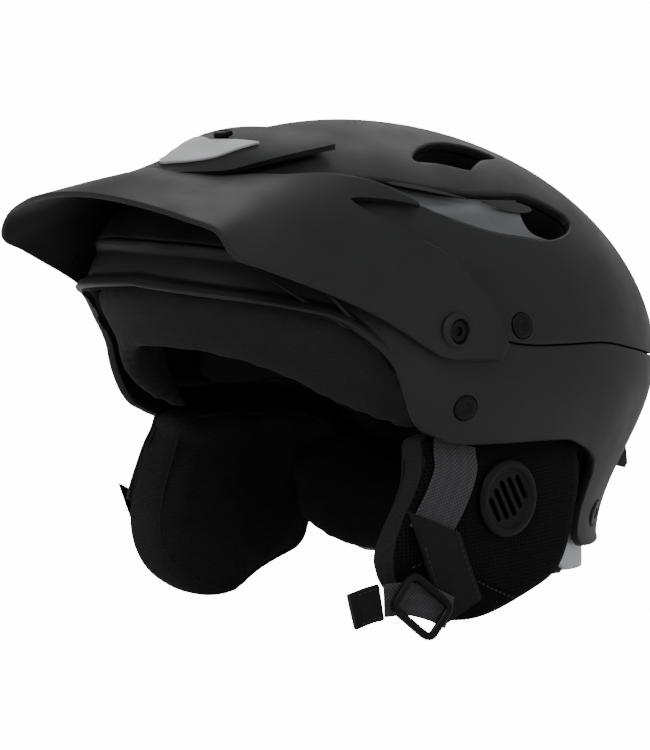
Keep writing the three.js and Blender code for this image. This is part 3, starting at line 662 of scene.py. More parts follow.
def leather(name, colour):
    """Smooth synthetic leather: small pebbles and shallow creases."""
    made, tree, shader = new_material(name)
    if tree is None:
        return made
    place = node(tree, "ShaderNodeTexCoord").outputs["Object"]
    pebble = node(tree, "ShaderNodeTexVoronoi", {"Vector": place, "Scale": 1300.0}, feature="SMOOTH_F1")
    crease = noise(tree, place, 210.0, 4.0, 0.6)
    height = maths(tree, "ADD", maths(tree, "MULTIPLY", pebble.outputs["Distance"], -0.6), crease)
    # The colour follows the crease noise that also dents the surface, darker in the creases: painted shade.
    tree.links.new(blended(tree, crease, rgba(colour, 0.7), rgba(colour, 1.4)), shader.inputs["Base Color"])
    tree.links.new(ramp(tree, crease, 0.3, 0.7, 0.42, 0.62), shader.inputs["Roughness"])
    shader.inputs["Specular IOR Level"].default_value = 0.14
    bump(tree, shader, height, 0.08)
    return made


def ear_fabric(name, face, gusset, lower):
    """Sewn ear pad: coarse diagonal weave on the face, fleecy knit on the gusset, a smooth lower panel. The mesh's
    attributes Drop, the depth behind the face, and Panel, the distance under the panel seam, tell them apart."""
    made, tree, shader = new_material(name)
    if tree is None:
        return made
    place = millimetres(tree)
    axes = node(tree, "ShaderNodeSeparateXYZ", {0: place}).outputs
    flat = node(tree, "ShaderNodeCombineXYZ", {0: axes[1], 1: axes[2], 2: 0.0}).outputs[0]
    turned = node(tree, "ShaderNodeMapping", {"Vector": flat, "Rotation": (0, 0, math.radians(40))}).outputs[0]
    woven = use_group(tree, weave_group, {"Vector": turned, "Pitch": 1.25})
    fleece = use_group(tree, knit_group, {"Vector": place, "Pitch": 1.1})
    drop = node(tree, "ShaderNodeAttribute", attribute_name="Drop").outputs["Fac"]
    under = node(tree, "ShaderNodeAttribute", attribute_name="Panel").outputs["Fac"]
    on_side = ramp(tree, drop, 3.0, 3.5)
    on_panel = ramp(tree, under, -0.2, 0.2)
    weave_colour = blended(tree, ramp(tree, woven["Tone"], 0.15, 0.85), rgba(face, 0.45), rgba(face, 1.6))
    # The gusset's knit is darker in its valleys, after the fleece tone: painted shade.
    knit_colour = blended(tree, ramp(tree, fleece["Tone"], 0.25, 0.85), rgba(gusset, 0.5), rgba(gusset, 1.5))
    soft = noise(tree, place, 0.9, 3.0)
    panel_colour = blended(tree, soft, rgba(lower, 0.75), rgba(lower, 1.25))
    base = blended(tree, on_panel, weave_colour, panel_colour)
    tree.links.new(blended(tree, on_side, base, knit_colour), shader.inputs["Base Color"])
    level = maths(tree, "MULTIPLY", woven["Height"], maths(tree, "SUBTRACT", 1.0, on_panel))
    level = maths(tree, "MULTIPLY", level, maths(tree, "SUBTRACT", 1.0, on_side))
    level = maths(tree, "ADD", level, maths(tree, "MULTIPLY", fleece["Height"], maths(tree, "MULTIPLY", on_side, 0.8)))
    level = maths(tree, "ADD", level, maths(tree, "MULTIPLY", soft, 0.25))
    tree.links.new(ramp(tree, soft, 0.2, 0.8, 0.75, 0.98), shader.inputs["Roughness"])
    cloth_shader(shader, 0.008, 0.05)
    bump(tree, shader, level, 0.34)
    return made


# ---- More shapes -----------------------------------------------------------------------


def swept(name, path, across, lift, section, closed=False, uv=True):
    """Carries a closed section (a, b) along a path: each point is path + a * across + b * lift. Its own map holds the
    way round the section and the way along the path."""
    path = np.asarray(path, float)
    section = np.asarray(section, float)
    points = path[:, None] + section[None, :, :1] * across[:, None] + section[None, :, 1:] * lift[:, None]
    rows, columns = points.shape[:2]
    way = way_along(path)
    flat = np.stack([np.broadcast_to(section[:, 0], (rows, columns)),
                     np.broadcast_to(way[:, None], (rows, columns))], -1)
    if not closed:
        points = capped(points)
        flat = np.concatenate([flat[:1], flat, flat[-1:]])
        rows += 2
    return make_mesh(name, points, grid_faces(rows, columns, around=True, over=closed), flat if uv else None)


def flat_section(width, thick, corner=None, per_corner=4, per_side=10):
    """Rounded rectangle section, as (a, b) pairs: four quarter circles with points between them."""
    r = min(corner if corner else thick / 2, thick / 2)
    turn = np.linspace(0, np.pi / 2, per_corner + 1)
    arc = np.stack([np.cos(turn), np.sin(turn)], -1) * r
    out = []
    for k, (sx, sy) in enumerate([(1, 1), (-1, 1), (-1, -1), (1, -1)]):
        a = k * np.pi / 2
        spin = np.array([[np.cos(a), -np.sin(a)], [np.sin(a), np.cos(a)]])
        out.append(arc @ spin.T + [sx * (width / 2 - r), sy * (thick / 2 - r)])
        if k % 2 == 0:
            t = np.linspace(0, 1, per_side + 1)[1:-1, None]
            start = out[-1][-1]
            out.append(start * (1 - t) + start * [-1, 1] * t)
    return np.concatenate(out)


def round_section(radius, sides):
    """Ring of a circle."""
    a = np.linspace(0, 2 * np.pi, sides, endpoint=False)
    return np.stack([np.cos(a), np.sin(a)], -1) * radius


def frames_along(path, outwards, closed=False):
    """Across and lift vectors of a path: across is square to the path and to outwards."""
    path = np.asarray(path, float)
    way = np.roll(path, -1, 0) - np.roll(path, 1, 0) if closed else np.gradient(path, axis=0)
    way = unit(way)
    across = unit(np.cross(np.broadcast_to(outwards, way.shape), way))
    return across, np.cross(way, across)


def cord_on(name, path, outwards, radius):
    """A thin round rim, such as a seam's piping, along a closed path."""
    across, lift = frames_along(path, outwards, closed=True)
    return swept(name, path, across, lift, round_section(radius, 7), closed=True, uv=False)


def stitches(name, path, outwards, length=2.0, gap=1.0, width=0.55, height=0.35):
    """A row of stitches: short capsules laid end to end along a path."""
    path = np.asarray(path, float)
    way = way_along(path)
    starts = np.arange(0, way[-1] - length, length + gap)
    ends = np.array([0.0, 0.12, 0.5, 0.88, 1.0])
    size = np.array([0.35, 0.9, 1.0, 0.9, 0.35])
    at = starts[:, None] + ends[None, :] * length
    out = np.broadcast_to(np.asarray(outwards, float), path.shape)
    across, lift = frames_along(path, out)
    read = [np.stack([np.interp(at, way, v[:, k]) for k in range(3)], -1) for v in (path, across, lift)]
    section = round_section(1.0, 6) * [width, height]
    rings = read[0][:, :, None] + (size[None, :, None, None]) * (
        section[None, None, :, :1] * read[1][:, :, None] + section[None, None, :, 1:] * read[2][:, :, None])
    count, rows, columns = rings.shape[:3]
    one = grid_faces(rows, columns, around=True)
    caps = np.array([[0, 1, 2, 3], [0, 3, 4, 5]])
    one = np.concatenate([one, caps, caps + (rows - 1) * columns])
    faces = (one[None] + (np.arange(count) * rows * columns)[:, None, None]).reshape(-1, 4)
    return make_mesh(name, rings.reshape(-1, 3), faces)


def joined(name, objects):
    """Joins mesh objects into the first one without merging their points; materials are kept."""
    target = objects[0]
    with bpy.context.temp_override(active_object=target, selected_editable_objects=objects,
                                   selected_objects=objects):
        bpy.ops.object.join()
    target.name = name
    target.data.name = name
    return target


def form_gauge(p, out):
    """1 on the head form moved by out, over 1 outside it."""
    z = p[..., 2]
    high = np.maximum(z, 0) / (CROWN + out)
    inset = np.where(z > 0, 0, tuck(np.minimum(z, 0)))
    wide = np.abs(p[..., 0]) / (HALF_WIDTH + out - inset)
    long = np.abs(p[..., 1] + LEAN * np.maximum(z, 0)) / (HALF_LENGTH + out - inset)
    full = np.where(p[..., 1] < 0, FULL_FRONT, FULL_REAR)
    plan = (wide**full + long**full) ** (1 / full)
    return np.sqrt(plan**2 + high**2)


def kept_inside(p, out):
    """Draws points in until none lies outside the head form moved by out."""
    factor = np.minimum(1 / np.maximum(form_gauge(p, out), 1e-6), 1)
    lean = LEAN * np.maximum(p[..., 2], 0)
    z = np.where(p[..., 2] > 0, p[..., 2] * factor, p[..., 2])
    y = (p[..., 1] + lean) * factor - LEAN * np.maximum(z, 0)
    return np.stack([p[..., 0] * factor, y, z], -1)


def positions(mesh):
    """Vertex places in millimetres."""
    flat = np.empty(len(mesh.vertices) * 3, np.float32)
    mesh.vertices.foreach_get("co", flat)
    return flat.reshape(-1, 3).astype(float) / MM


def set_positions(mesh, points):
    mesh.vertices.foreach_set("co", (points * MM).astype(np.float32).ravel())
    mesh.update()


def puffed(obj, travel, limit, voxel=4.0, pressure=4.0):
    """Fills a sewn case with air: remeshes it, lets cloth swell for 20 frames, caps each point's travel, keeps it
    inside its limit, and adds one subdivision."""
    obj.data.remesh_voxel_size = voxel * MM
    remesh = obj.modifiers.new("Remesh", "REMESH")
    remesh.mode = "VOXEL"
    remesh.voxel_size = voxel * MM
    baked(obj)
    before = positions(obj.data)
    cloth = obj.modifiers.new("Cloth", "CLOTH")
    cloth.settings.quality = 5
    cloth.settings.mass = 0.2
    cloth.settings.use_pressure = True
    cloth.settings.uniform_pressure_force = pressure
    cloth.settings.effector_weights.gravity = 0
    scene = bpy.context.scene
    for number in range(1, 21):
        scene.frame_set(number)
    grown = bpy.data.meshes.new_from_object(obj.evaluated_get(bpy.context.evaluated_depsgraph_get()))
    after = positions(grown)
    bpy.data.meshes.remove(grown)
    obj.modifiers.clear()
    scene.frame_set(1)
    step = after - before
    size = np.maximum(np.linalg.norm(step, axis=1, keepdims=True), 1e-9)
    step *= np.minimum(1, travel / size)
    set_positions(obj.data, before + step)
    set_positions(obj.data, limit(positions(obj.data)))
    split = obj.modifiers.new("Subdivision", "SUBSURF")
    split.levels = split.render_levels = 1
    baked(obj)
    return obj


# ---- Settings --------------------------------------------------------------------------


def colour_property(name, text, value):
    """A colour setting with its default."""
    return FloatVectorProperty(name=name, description=text, subtype="COLOR", size=3, min=0, max=1, default=value)


class HelmetSettings(bpy.types.PropertyGroup):
    """Sizes and colours that a user would change."""

    shell_colour: colour_property("Shell", "Colour of the hard shell", (0.0105, 0.0108, 0.0115))
    # The scoop floors are painted far lighter than the shell: a painted highlight for the light that their upward
    # faces catch.
    scoop_highlight_colour: colour_property("Scoops", "Colour of the scoop floors", (0.075, 0.077, 0.08))
    badge_colour: colour_property("Badge", "Colour of the plain badge", (0.36, 0.365, 0.375))
    trim_colour: colour_property("Trim", "Colour of plugs, screws and grilles", (0.004, 0.004, 0.0043))
    webbing_colour: colour_property("Webbing", "Colour of the straps", (0.04, 0.04, 0.043))
    fabric_colour: colour_property("Fabric", "Colour of the ear pads' face", (0.0042, 0.0042, 0.0046))
    knit_colour: colour_property("Knit", "Colour of the fleecy pads", (0.017, 0.017, 0.018))
    cradle_colour: colour_property("Cradle", "Colour of the rear cradle", (0.36, 0.37, 0.39))
    shell_columns: IntProperty(name="Shell columns", description="Columns round the shell", default=260, min=80)
    grain_size: FloatProperty(name="Grain", description="Size of the mould grain in millimetres", default=0.55)
    pad_travel: FloatProperty(
        name="Pad travel", description="Most that a pad may swell", default=0.003, unit="LENGTH", subtype="DISTANCE")
    pad_voxel: FloatProperty(
        name="Pad mesh", description="Mesh size of the pads", default=0.004, unit="LENGTH", subtype="DISTANCE")


def settings():
    return bpy.context.scene.helmet_settings


def shell_look():
    return plastic("Shell plastic", settings().shell_colour, 0.52, settings().grain_size, 0.03, 0.3, 0.22)


def trim_look():
    return plastic("Trim plastic", settings().trim_colour, 0.42, 0.4, 0.015, 0.5, 0.12)


def knit_look():
    return knit("Fleecy knit cloth", settings().knit_colour)


def webbing_look():
    return webbing("Strap webbing", settings().webbing_colour)


def leather_look():
    return leather("Synthetic leather", (0.003, 0.003, 0.0033))


def thread_look():
    return knit("Sewing thread", (0.03, 0.03, 0.032), 0.4, 0.05, 0.05)


# ---- Shells ----------------------------------------------------------------------------

PLUGS = {"side_plug": (90, 16.8), "temple_plug": (76, -19), "leg_plug": (132, -75.5), "rear_plug": (145, 3)}
SEAT = [(0, -9), (2.8, -9), (2.8, -1.5), (6.1, -1.5), (6.1, -0.45), (6.5, 0.1), (6.7, 3), (0, 3)]
SEAM_GAP = 0.3

SCOOP = [
    (59, -64, 85), (65, -48, 83), (72, -32, 79), (77, -15, 76), (78, 5, 73), (76, 28, 72), (77, 44, 67), (79, 54, 60),
    (86, 47, 55), (92, 32, 53), (94, 18, 55), (93, -4, 59), (88, -22, 65), (79, -38, 73), (68, -52, 81),
]
SCOOP_NORMAL = np.array([0.72, -0.05, 0.69]) / np.linalg.norm([0.72, -0.05, 0.69])
HOLE = [(76, 28, 72), (77, 44, 67), (79, 54, 60), (86, 47, 55), (92, 32, 53), (91, 20, 57), (84, 20, 66)]
VENT = [
    (58, -20, 90), (51, -12, 94), (45, 3, 96), (43, 18, 95), (44, 29, 92), (49, 37, 88), (56, 22, 88), (62, 12, 86),
    (65, 6, 85), (61, -8, 88),
]
VENT_NORMAL = (0.55, 0.05, 0.83)


def plug_place(name):
    """Place and outward normal of a plug on the left."""
    heading, z = PLUGS[name]
    tilt = tilt_of(z)
    return skin(heading, tilt), skin_normal(heading, tilt)


def seat_cutters(*names):
    """Cutters for the stepped seats of plugs, on both sides."""
    out = []
    for name in names:
        place, normal = plug_place(name)
        for side in (1, -1):
            out.append(lathe("seat", SEAT, paired(place, side), paired(normal, side), 40))
    return out


def side_screw_place(side):
    """Place and outward normal of a visor screw."""
    place = clear_of_skin(np.array([100.0, PIVOT_Y, PIVOT_Z]), 3.0)
    return paired(place, side), np.array([side, 0, 0])


def screw_holes(depth=12, radius=2.9):
    """Cutters for the two screw holes."""
    return [lathe("hole", [(0, -depth), (radius, -depth), (radius, 2.2), (0, 2.2)], *side_screw_place(side), sides=24)
            for side in (1, -1)]


def headings_round(rim, columns):
    """Headings of the columns: evenly spaced along a rim, the same on both sides."""
    fine = np.linspace(0, 180, 3000)
    curve = skin(fine, tilt_of(read_along(rim, fine)))
    way = way_along(curve)
    half = np.interp(np.linspace(0, way[-1], columns // 2 + 1), way, fine)
    return np.concatenate([half, -half[-2:0:-1]])


def make_shell_upper():
    """The dome over the seam: rows run from the seam to the crown at even tilts."""
    columns = settings().shell_columns
    heading = headings_round(SEAM, columns)
    low = tilt_of(read_along(SEAM, np.abs(heading)) + SEAM_GAP)
    t = np.linspace(0, 1, 64)[:, None]
    tilt = low + (90 - low) * t
    shell = make_mesh("helmet_shell_upper", skin(heading, tilt, 0), grid_faces(64, len(heading), around=True))
    thicken(shell, SHELL_WALL, 0.7)
    cutters = seat_cutters("side_plug", "rear_plug") + screw_holes()
    for mirror in (False, True):
        cutters.append(hole_cutter(SCOOP, SCOOP_NORMAL, 14, 1.2, mirror=mirror))
        cutters.append(hole_cutter(VENT, VENT_NORMAL, 14, 1.0, mirror=mirror))
    carve(shell, cutters)
    return piece(shell, "helmet", shell_look(), ["shell_upper"])


def make_shell_lower():
    """The wall under the seam. Its brow rim is rolled outwards and the forehead lies back behind the roll."""
    heading = headings_round(RIM, settings().shell_columns + 100)
    away = np.abs(heading)
    low = read_along(RIM, away)
    high = read_along(SEAM, away) - SEAM_GAP
    t = np.concatenate([np.linspace(0, 0.3, 16), np.linspace(0.3, 1, 26)[1:]])[:, None]
    z = low + (high - low) * t
    rise = z - low
    front = 1 - step_up(away, 54, 64)
    roll = 1.3 * np.exp(-((rise / 2.6) ** 2)) * front
    recess = -2.6 * step_up(rise, 3.0, 7.0) * (1 - step_up(rise, high - low - 5, high - low - 1)) * front
    nape = 0.9 * np.exp(-((rise / 2.2) ** 2)) * step_up(away, 126, 134)
    shell = make_mesh("helmet_shell_lower", skin(heading, tilt_of(z), roll + recess + nape),
                      grid_faces(len(t), len(heading), around=True))
    thicken(shell, SHELL_WALL, 1.1, 3)
    carve(shell, seat_cutters("temple_plug", "leg_plug") + screw_holes())
    return piece(shell, "helmet", shell_look(), ["shell_lower"])


def make_scoops():
    """The scoop's floor: rings of its outline drawn in to the middle and dropped on the head form, deep under the
    upper edge and rising to the lower edge."""
    middle, e1, e2, n, ring = flat_ring(SCOOP, SCOOP_NORMAL, 160)
    ring = ring - 0.25 * outward_sides(ring)
    scale = np.linspace(1, 0, 34)[:, None, None] ** 0.8
    spread = ring[None] * scale
    place = middle + spread[..., :1] * e1 + spread[..., 1:] * e2
    on_form = drop_on_skin(place, n)
    up = spread[..., 1]
    along = spread[..., 0]
    depth = 0.7 + 3.1 * step_up(up, -9, 9) * step_up(along, along.min(), along.min() + 34)
    depth = depth * np.minimum(1, 0.4 + step_up(-along, -along.max(), -along.max() + 26))
    for sign, word in SIDES:
        face = on_form - depth[..., None] * n
        both = np.concatenate([face, (face - 1.2 * n)[::-1]])
        floor = make_mesh(f"scoop_floor_{word}", paired(both, sign), grid_faces(68, 160, around=True, over=True))
        carve(floor, [hole_cutter(HOLE, SCOOP_NORMAL, 26, 0.5, mirror=sign < 0)])
        # The floor is painted lighter than the shell, a painted highlight for the light that its upward face catches.
        look = plastic("Scoop plastic with painted highlight", settings().scoop_highlight_colour, 0.5, 0.5, 0.03, 0.4, 0.4)
        piece(floor, "helmet", look, [f"scoop_insert_{word}"])


# ---- Visor -----------------------------------------------------------------------------

VISOR_EDGES = [
    ((0, -117, 88.5), (0, -168, 79)), ((12, -110, 86.5), (20, -167, 78)), ((21, -102.5, 85), (40, -163.5, 75)),
    ((33, -94, 86), (57, -157.5, 70.5)), ((44, -87, 86), (70, -151.5, 65.5)), ((56, -72, 86.5), (80, -148, 54)),
    ((68.5, -55.5, 83), (85, -132, 47.5)), ((81, -42.5, 75), (91, -112, 39.5)), ((85, -41.5, 71.5), (94, -100, 34.5)),
    ((89, -47, 64), (97, -89, 29.5)), ((93, -48, 58), (100, -79, 24)), ((99, -40, 52), (103.5, -68, 17)),
    ((105, -31, 42), (107, -58, 10)), ((110, -23, 31), (110, -49, 4.8)), ((113, -17.5, 20), (112.5, -36, 3)),
    ((114.5, -14.3, 9), (114.5, -19, 2)),
]
VISOR_WALL = 2.6
VISOR_RISE = 3.0
TONGUE = [  # y, half-width, height on the centre line, height of the side edge
    (-128, 7, 86.9, 86.4), (-118, 13, 90.2, 86.6), (-104, 22, 94.2, 87), (-92, 31, 97.8, 90.5), (-75, 39, 101, 94.6),
    (-57, 45, 103.6, 98),
]
BAY = [
    (71.5, -70, 75.5), (77.5, -56, 75), (84, -43, 72), (93, -32, 70), (99, -42, 59), (93, -51, 59.5), (86, -58, 65),
    (79, -67, 70), (73, -71, 73.5),
]
BAY_NORMAL = (0.66, -0.33, 0.67)
LOCK_PLACE = (0, -84, 99.6)
LOCK_NORMAL = (0, -0.22, 1)


def tongue_height(x, y):
    """Height of the tongue: it falls from its centre line to its edge as |x / half-width|^2.2."""
    table = np.array(TONGUE, float)
    width, middle, edge = (read_along(table[:, [0, k]], y) for k in (1, 2, 3))
    return middle + (edge - middle) * np.minimum(np.abs(x) / width, 1) ** 2.2


def prism_cutter(outline, normal, inward, outward, mirror=False):
    """Closed cutter with a smooth outline, from inward mm under its middle to outward mm over it."""
    middle, e1, e2, n, ring = flat_ring(outline, normal, 110)
    place = middle + ring[:, :1] * e1 + ring[:, 1:] * e2
    rings = capped(np.array([place - inward * n, place + outward * n]))
    return make_mesh("cutter", paired(rings, -1 if mirror else 1), grid_faces(4, len(ring), around=True))


def visor_surface(station, row):
    """Outer face of the visor: straight lines from its rear to its front edge, lifted clear of the shell, with a
    crowned peak, a crease behind the front corner and a shallow dish behind it."""
    rear = np.array([a for a, _ in VISOR_EDGES], float)
    front = np.array([b for _, b in VISOR_EDGES], float)
    flip = np.array([-1, 1, 1])
    rear = np.concatenate([rear[:0:-1] * flip, rear])
    front = np.concatenate([front[:0:-1] * flip, front])
    half = len(VISOR_EDGES) - 1
    a, b = spline(rear, station + half), spline(front, station + half)
    p = a + (b - a) * row[..., None]
    away = np.abs(station)
    crown = np.sin(np.pi * np.clip(row, 0, 1))
    p[..., 2] += 2.2 * crown * np.exp(-((away / 2.6) ** 2))
    crease = np.exp(-(((away - 4.3) / 0.45) ** 2)) * step_up(row, 0.45, 1.0)
    dish = np.exp(-(((away - 6.6) / 1.5) ** 2)) * np.exp(-(((row - 0.62) / 0.22) ** 2))
    p = clear_of_skin(p, VISOR_RISE)
    outwards = np.stack([np.sign(station) * 0.7, -0.25 + 0 * station, 0.66 + 0 * station], -1)
    return p + outwards * (0.9 * crease - 1.2 * dish)[..., None]


def make_visor():
    """The peak, its wings and the raised tongue, cut for the screws and the side bays."""
    half = len(VISOR_EDGES) - 1
    station, row = np.meshgrid(np.linspace(-half, half, 281), np.linspace(0, 1, 44))
    visor = make_mesh("helmet_visor", visor_surface(station, row), grid_faces(44, 281))
    if visor.data.polygons[len(visor.data.polygons) // 2].normal.z < 0:
        visor.data.flip_normals()
    thicken(visor, VISOR_WALL, 0.7, 3)
    y, a = np.meshgrid(np.linspace(-128, -57, 60), np.linspace(-1, 1, 61), indexing="ij")
    width = read_along(np.array(TONGUE, float)[:, [0, 1]], y)
    raised = np.stack([a * width, y, tongue_height(a * width, y)], -1)
    tongue = make_mesh("tongue", raised, grid_faces(60, 61))
    faced_up(tongue)
    thicken(tongue, 2.8)
    boss = rounded([(0, -1), (8.7, -1), (8.6, 0.5), (7.0, 2.1), (0, 2.1)], 0.5)
    bosses = [lathe("boss", boss, *side_screw_place(side), sides=56) for side in (1, -1)]
    carve(visor, [tongue] + bosses, "UNION")
    socket = [(0, -0.9), (5.7, -0.9), (5.7, 1.6), (6.1, 2.4), (6.3, 4), (0, 4)]
    cutters = [lathe("socket", socket, *side_screw_place(side), sides=48) for side in (1, -1)]
    cutters += screw_holes(9) + [lathe("lock", [(0, -9), (2.4, -9), (2.4, 5), (0, 5)], LOCK_PLACE, LOCK_NORMAL, 24)]
    cutters += [prism_cutter(BAY, BAY_NORMAL, 9, 12, mirror=mirror) for mirror in (False, True)]
    carve(visor, cutters)
    piece(visor, "visor", shell_look(), ["visor"])


BADGE = [(-121.5, 1.5), (-117, 7), (-110, 11.5), (-103, 15), (-96, 18), (-89, 20.3), (-82, 22)]
BADGE_NOTCH = 10.0


def make_badge():
    """A plain shield laid over the tongue's front, cut in at the rear."""
    t, a = np.meshgrid(np.linspace(0, 1, 40), np.linspace(-1, 1, 41), indexing="ij")
    y_side = BADGE[0][0] + (BADGE[-1][0] - BADGE[0][0]) * t
    x = read_along(BADGE, y_side) * a
    y = y_side - BADGE_NOTCH * (1 - np.abs(a)) * t
    badge = make_mesh("visor_badge_plate", np.stack([x, y, tongue_height(x, y) + 1.7], -1), grid_faces(40, 41))
    faced_up(badge)
    thicken(badge, 1.4, 0.35, 2)
    look = plastic("Badge plastic", settings().badge_colour, 0.34, 0.5, 0.015, 0.2, 0.5, 0.1)
    piece(badge, "visor", look, ["visor_badge"])


# ---- Plugs, screws and dial ------------------------------------------------------------

PLUG = [
    (0, 0.35), (2.2, 0.35), (2.6, 0.85), (4.7, 0.85), (5.75, 0.2), (5.75, -1.2), (2.5, -1.2), (2.5, -4.6), (0, -4.6),
]
SCREW = [(0, 1.0), (5.0, 1.0), (5.0, -0.55), (2.5, -0.55), (2.5, -7.3), (0, -7.3)]
LOCK_SCREW = [(0, 3.4), (4.4, 3.4), (4.4, 0.9), (2.0, 0.9), (2.0, -2.5), (0, -2.5)]


def make_plugs():
    """Turned rubber plugs with a dished middle, in their seats in the shell."""
    for name in PLUGS:
        place, normal = plug_place(name)
        for side, word in SIDES:
            plug = lathe(f"shell_{name}_{word}", rounded(PLUG, 0.45), paired(place, side), paired(normal, side), 48)
            piece(plug, "helmet", trim_look(), [f"{name}_{word}"], 50)


def make_screws():
    """The visor's side screws with six-sided sockets, and its lock screw with a slot."""
    for side, word in SIDES:
        place, normal = side_screw_place(side)
        screw = lathe(f"side_screw_{word}", rounded(SCREW, 0.5), place, normal, 48)
        carve(screw, [lathe("hex", [(0, -0.3), (2.5, -0.3), (2.5, 3), (0, 3)], place, normal, 6)])
        piece(screw, "helmet", trim_look(), [f"visor_screw_{word}"], 35)
    lock = lathe("lock_screw", rounded(LOCK_SCREW, 0.5), LOCK_PLACE, LOCK_NORMAL, 48)
    slot = [(-3.4, -84.5, 103.5), (3.4, -84.5, 103.5), (3.4, -83.5, 103.5), (-3.4, -83.5, 103.5)]
    carve(lock, [prism_cutter(slot, LOCK_NORMAL, 1.3, 3)])
    piece(lock, "visor_lock_screw", trim_look(), ["visor_lock_screw"], 35)


def make_dial():
    """The fit dial: a turned knob whose rim is rippled by a cosine wave for grip."""
    profile = np.array(rounded([(0, 5), (3.2, 5), (4.2, 4.2), (8.6, 4.2), (9.6, 4.8), (10.9, 3.2), (10.9, -2.8),
                                (8.5, -4.5), (3, -4.6), (3, -8.8), (0, -8.8)], 0.6))
    angle = np.linspace(0, 2 * np.pi, 144, endpoint=False)[None, :]
    grip = step_up(profile[:, :1], 9.0, 10.4)
    radius = profile[:, :1] - 0.55 * grip * (0.5 + 0.5 * np.cos(18 * angle))
    height = profile[:, 1:] + 0 * angle
    points = np.stack([radius * np.cos(angle), height, radius * np.sin(angle)], -1) + DIAL
    dial = make_mesh("fit_knob", points, grid_faces(len(profile), 144, around=True))
    piece(dial, "fit_dial", trim_look(), ["fit_dial"])


def paint_kept_nodes():
    """Nodes whose own shape is right keep it and take a finish."""
    for name, look in (("strap_hook_left", shell_look()), ("strap_hook_right", shell_look())):
        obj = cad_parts[name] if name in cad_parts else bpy.data.objects[name]
        obj.data.materials.clear()
        obj.data.materials.append(look)


# ---- Liner, comfort pads and cradle ----------------------------------------------------

LINER_FACE = -5.4
LINER_WALL = 13.0
PAD_FACE = -20.6
PAD_WALL = 9.0
LINER_RIM = [
    (0, 45), (20, 42), (42, 36), (53, 30), (58, 20), (61.5, 9), (64, -3), (67, -15), (72, -23), (104, -25),
    (112, -29), (119, -37), (124, -46), (130, -53), (180, -56),
]
BROW_LOW = [(0, 8), (20, 4), (40, -8), (50, -18), (56, -23), (64, -29), (72, -32)]
BROW_HIGH = [(0, 43), (20, 40), (42, 33.5), (53, 27), (58, 17.5), (61.5, 6.5), (64, -5), (67, -17), (72, -24.5)]
BROW_FACE = -8.2
BROW_WALL = 23.0
BROW_LEAN = 12.0  # how much further in the brow pad lies at its lower edge
NAPE_LOW = [(104, -84), (112, -94), (125, -101), (150, -103), (180, -104)]
NAPE_HIGH = [(104, -56), (112, -47), (118, -45), (124, -47), (132, -55), (180, -61)]
CRADLE_LOW = [(114, -100), (130, -101), (150, -102), (180, -108)]
CRADLE_HIGH = [(114, -70), (120, -66), (140, -70), (180, -73)]


def make_liner():
    """The foam liner: the head form moved in by its gap, thickened inwards, and pierced at the vents."""
    heading = headings_round(LINER_RIM, 200)
    low = tilt_of(read_along(LINER_RIM, np.abs(heading)))
    t = np.linspace(0, 1, 46)[:, None]
    liner = make_mesh("foam_liner_shell", skin(heading, low + (90 - low) * t, LINER_FACE),
                      grid_faces(46, len(heading), around=True))
    thicken(liner, LINER_WALL, 2.2, 3)
    cutters = []
    for mirror in (False, True):
        cutters.append(prism_cutter(HOLE, SCOOP_NORMAL, 26, 30, mirror=mirror))
        cutters.append(prism_cutter(VENT, VENT_NORMAL, 26, 30, mirror=mirror))
    carve(liner, cutters)
    piece(liner, "helmet", foam("Closed-cell foam", (0.004, 0.004, 0.0045)), ["foam_liner"])


def pad_case(name, start, end, low, high, thick, face, lean=0.0, columns=90, rows=30, inset=0.3):
    """A closed case on the head form between two headings and two edges. Its thickness is a flattened dome: full in
    the middle, falling off as a superellipse towards each edge, with both faces meeting in a rounded rim. Its
    outer face lies lean further in at its lower edge."""
    a, b = np.meshgrid(np.linspace(-1, 1, columns), np.linspace(-1, 1, rows))
    a = np.sin(a * np.pi / 2) * 0.35 + a * 0.65
    b = np.sin(b * np.pi / 2) * 0.35 + b * 0.65
    heading = (start + end) / 2 + (end - start) / 2 * a
    away = np.abs(np.where(heading > 180, 360 - heading, heading))
    bottom, top = read_along(low, away), read_along(high, away)
    corner = 1 - 0.12 * np.abs(a) ** 6
    middle, half = (bottom + top) / 2, ((top - bottom) / 2 - inset) * corner
    tilt = tilt_of(middle + half * b)
    dome = (np.clip(1 - np.abs(a) ** 10, 0, 1) * np.clip(1 - np.abs(b) ** 4.5, 0, 1)) ** 0.45
    drop = lean * (1 - step_up(b, -0.4, 0.9))
    face, thick = face - drop, thick - drop
    inner = skin(heading, tilt, face - 0.3 * thick - 0.66 * thick * dome)
    outer = skin(heading, tilt, face - 0.3 * thick + 0.3 * thick * dome ** 0.35)
    points = np.concatenate([inner, outer[:, ::-1]], 1)
    return make_mesh(name, points, grid_faces(rows, 2 * columns, around=True))


def close_ends(obj):
    """Fills the open rims of a mesh."""
    work = bmesh.new()
    work.from_mesh(obj.data)
    bmesh.ops.remove_doubles(work, verts=work.verts, dist=5e-5)
    bmesh.ops.holes_fill(work, edges=[e for e in work.edges if e.is_boundary])
    bmesh.ops.recalc_face_normals(work, faces=work.faces)
    work.to_mesh(obj.data)
    work.free()


def make_pad(name, start, end, low, high, thick, face, look, body, nodes, lean=0.0):
    """Sews one comfort pad: its case, its swelling, and its declaration."""
    obj = pad_case(name, start, end, low, high, thick, face, lean)
    close_ends(obj)
    puffed(obj, settings().pad_travel / MM, lambda p: kept_inside(p, face + 0.2), settings().pad_voxel / MM)
    piece(obj, body, look, nodes, 80)


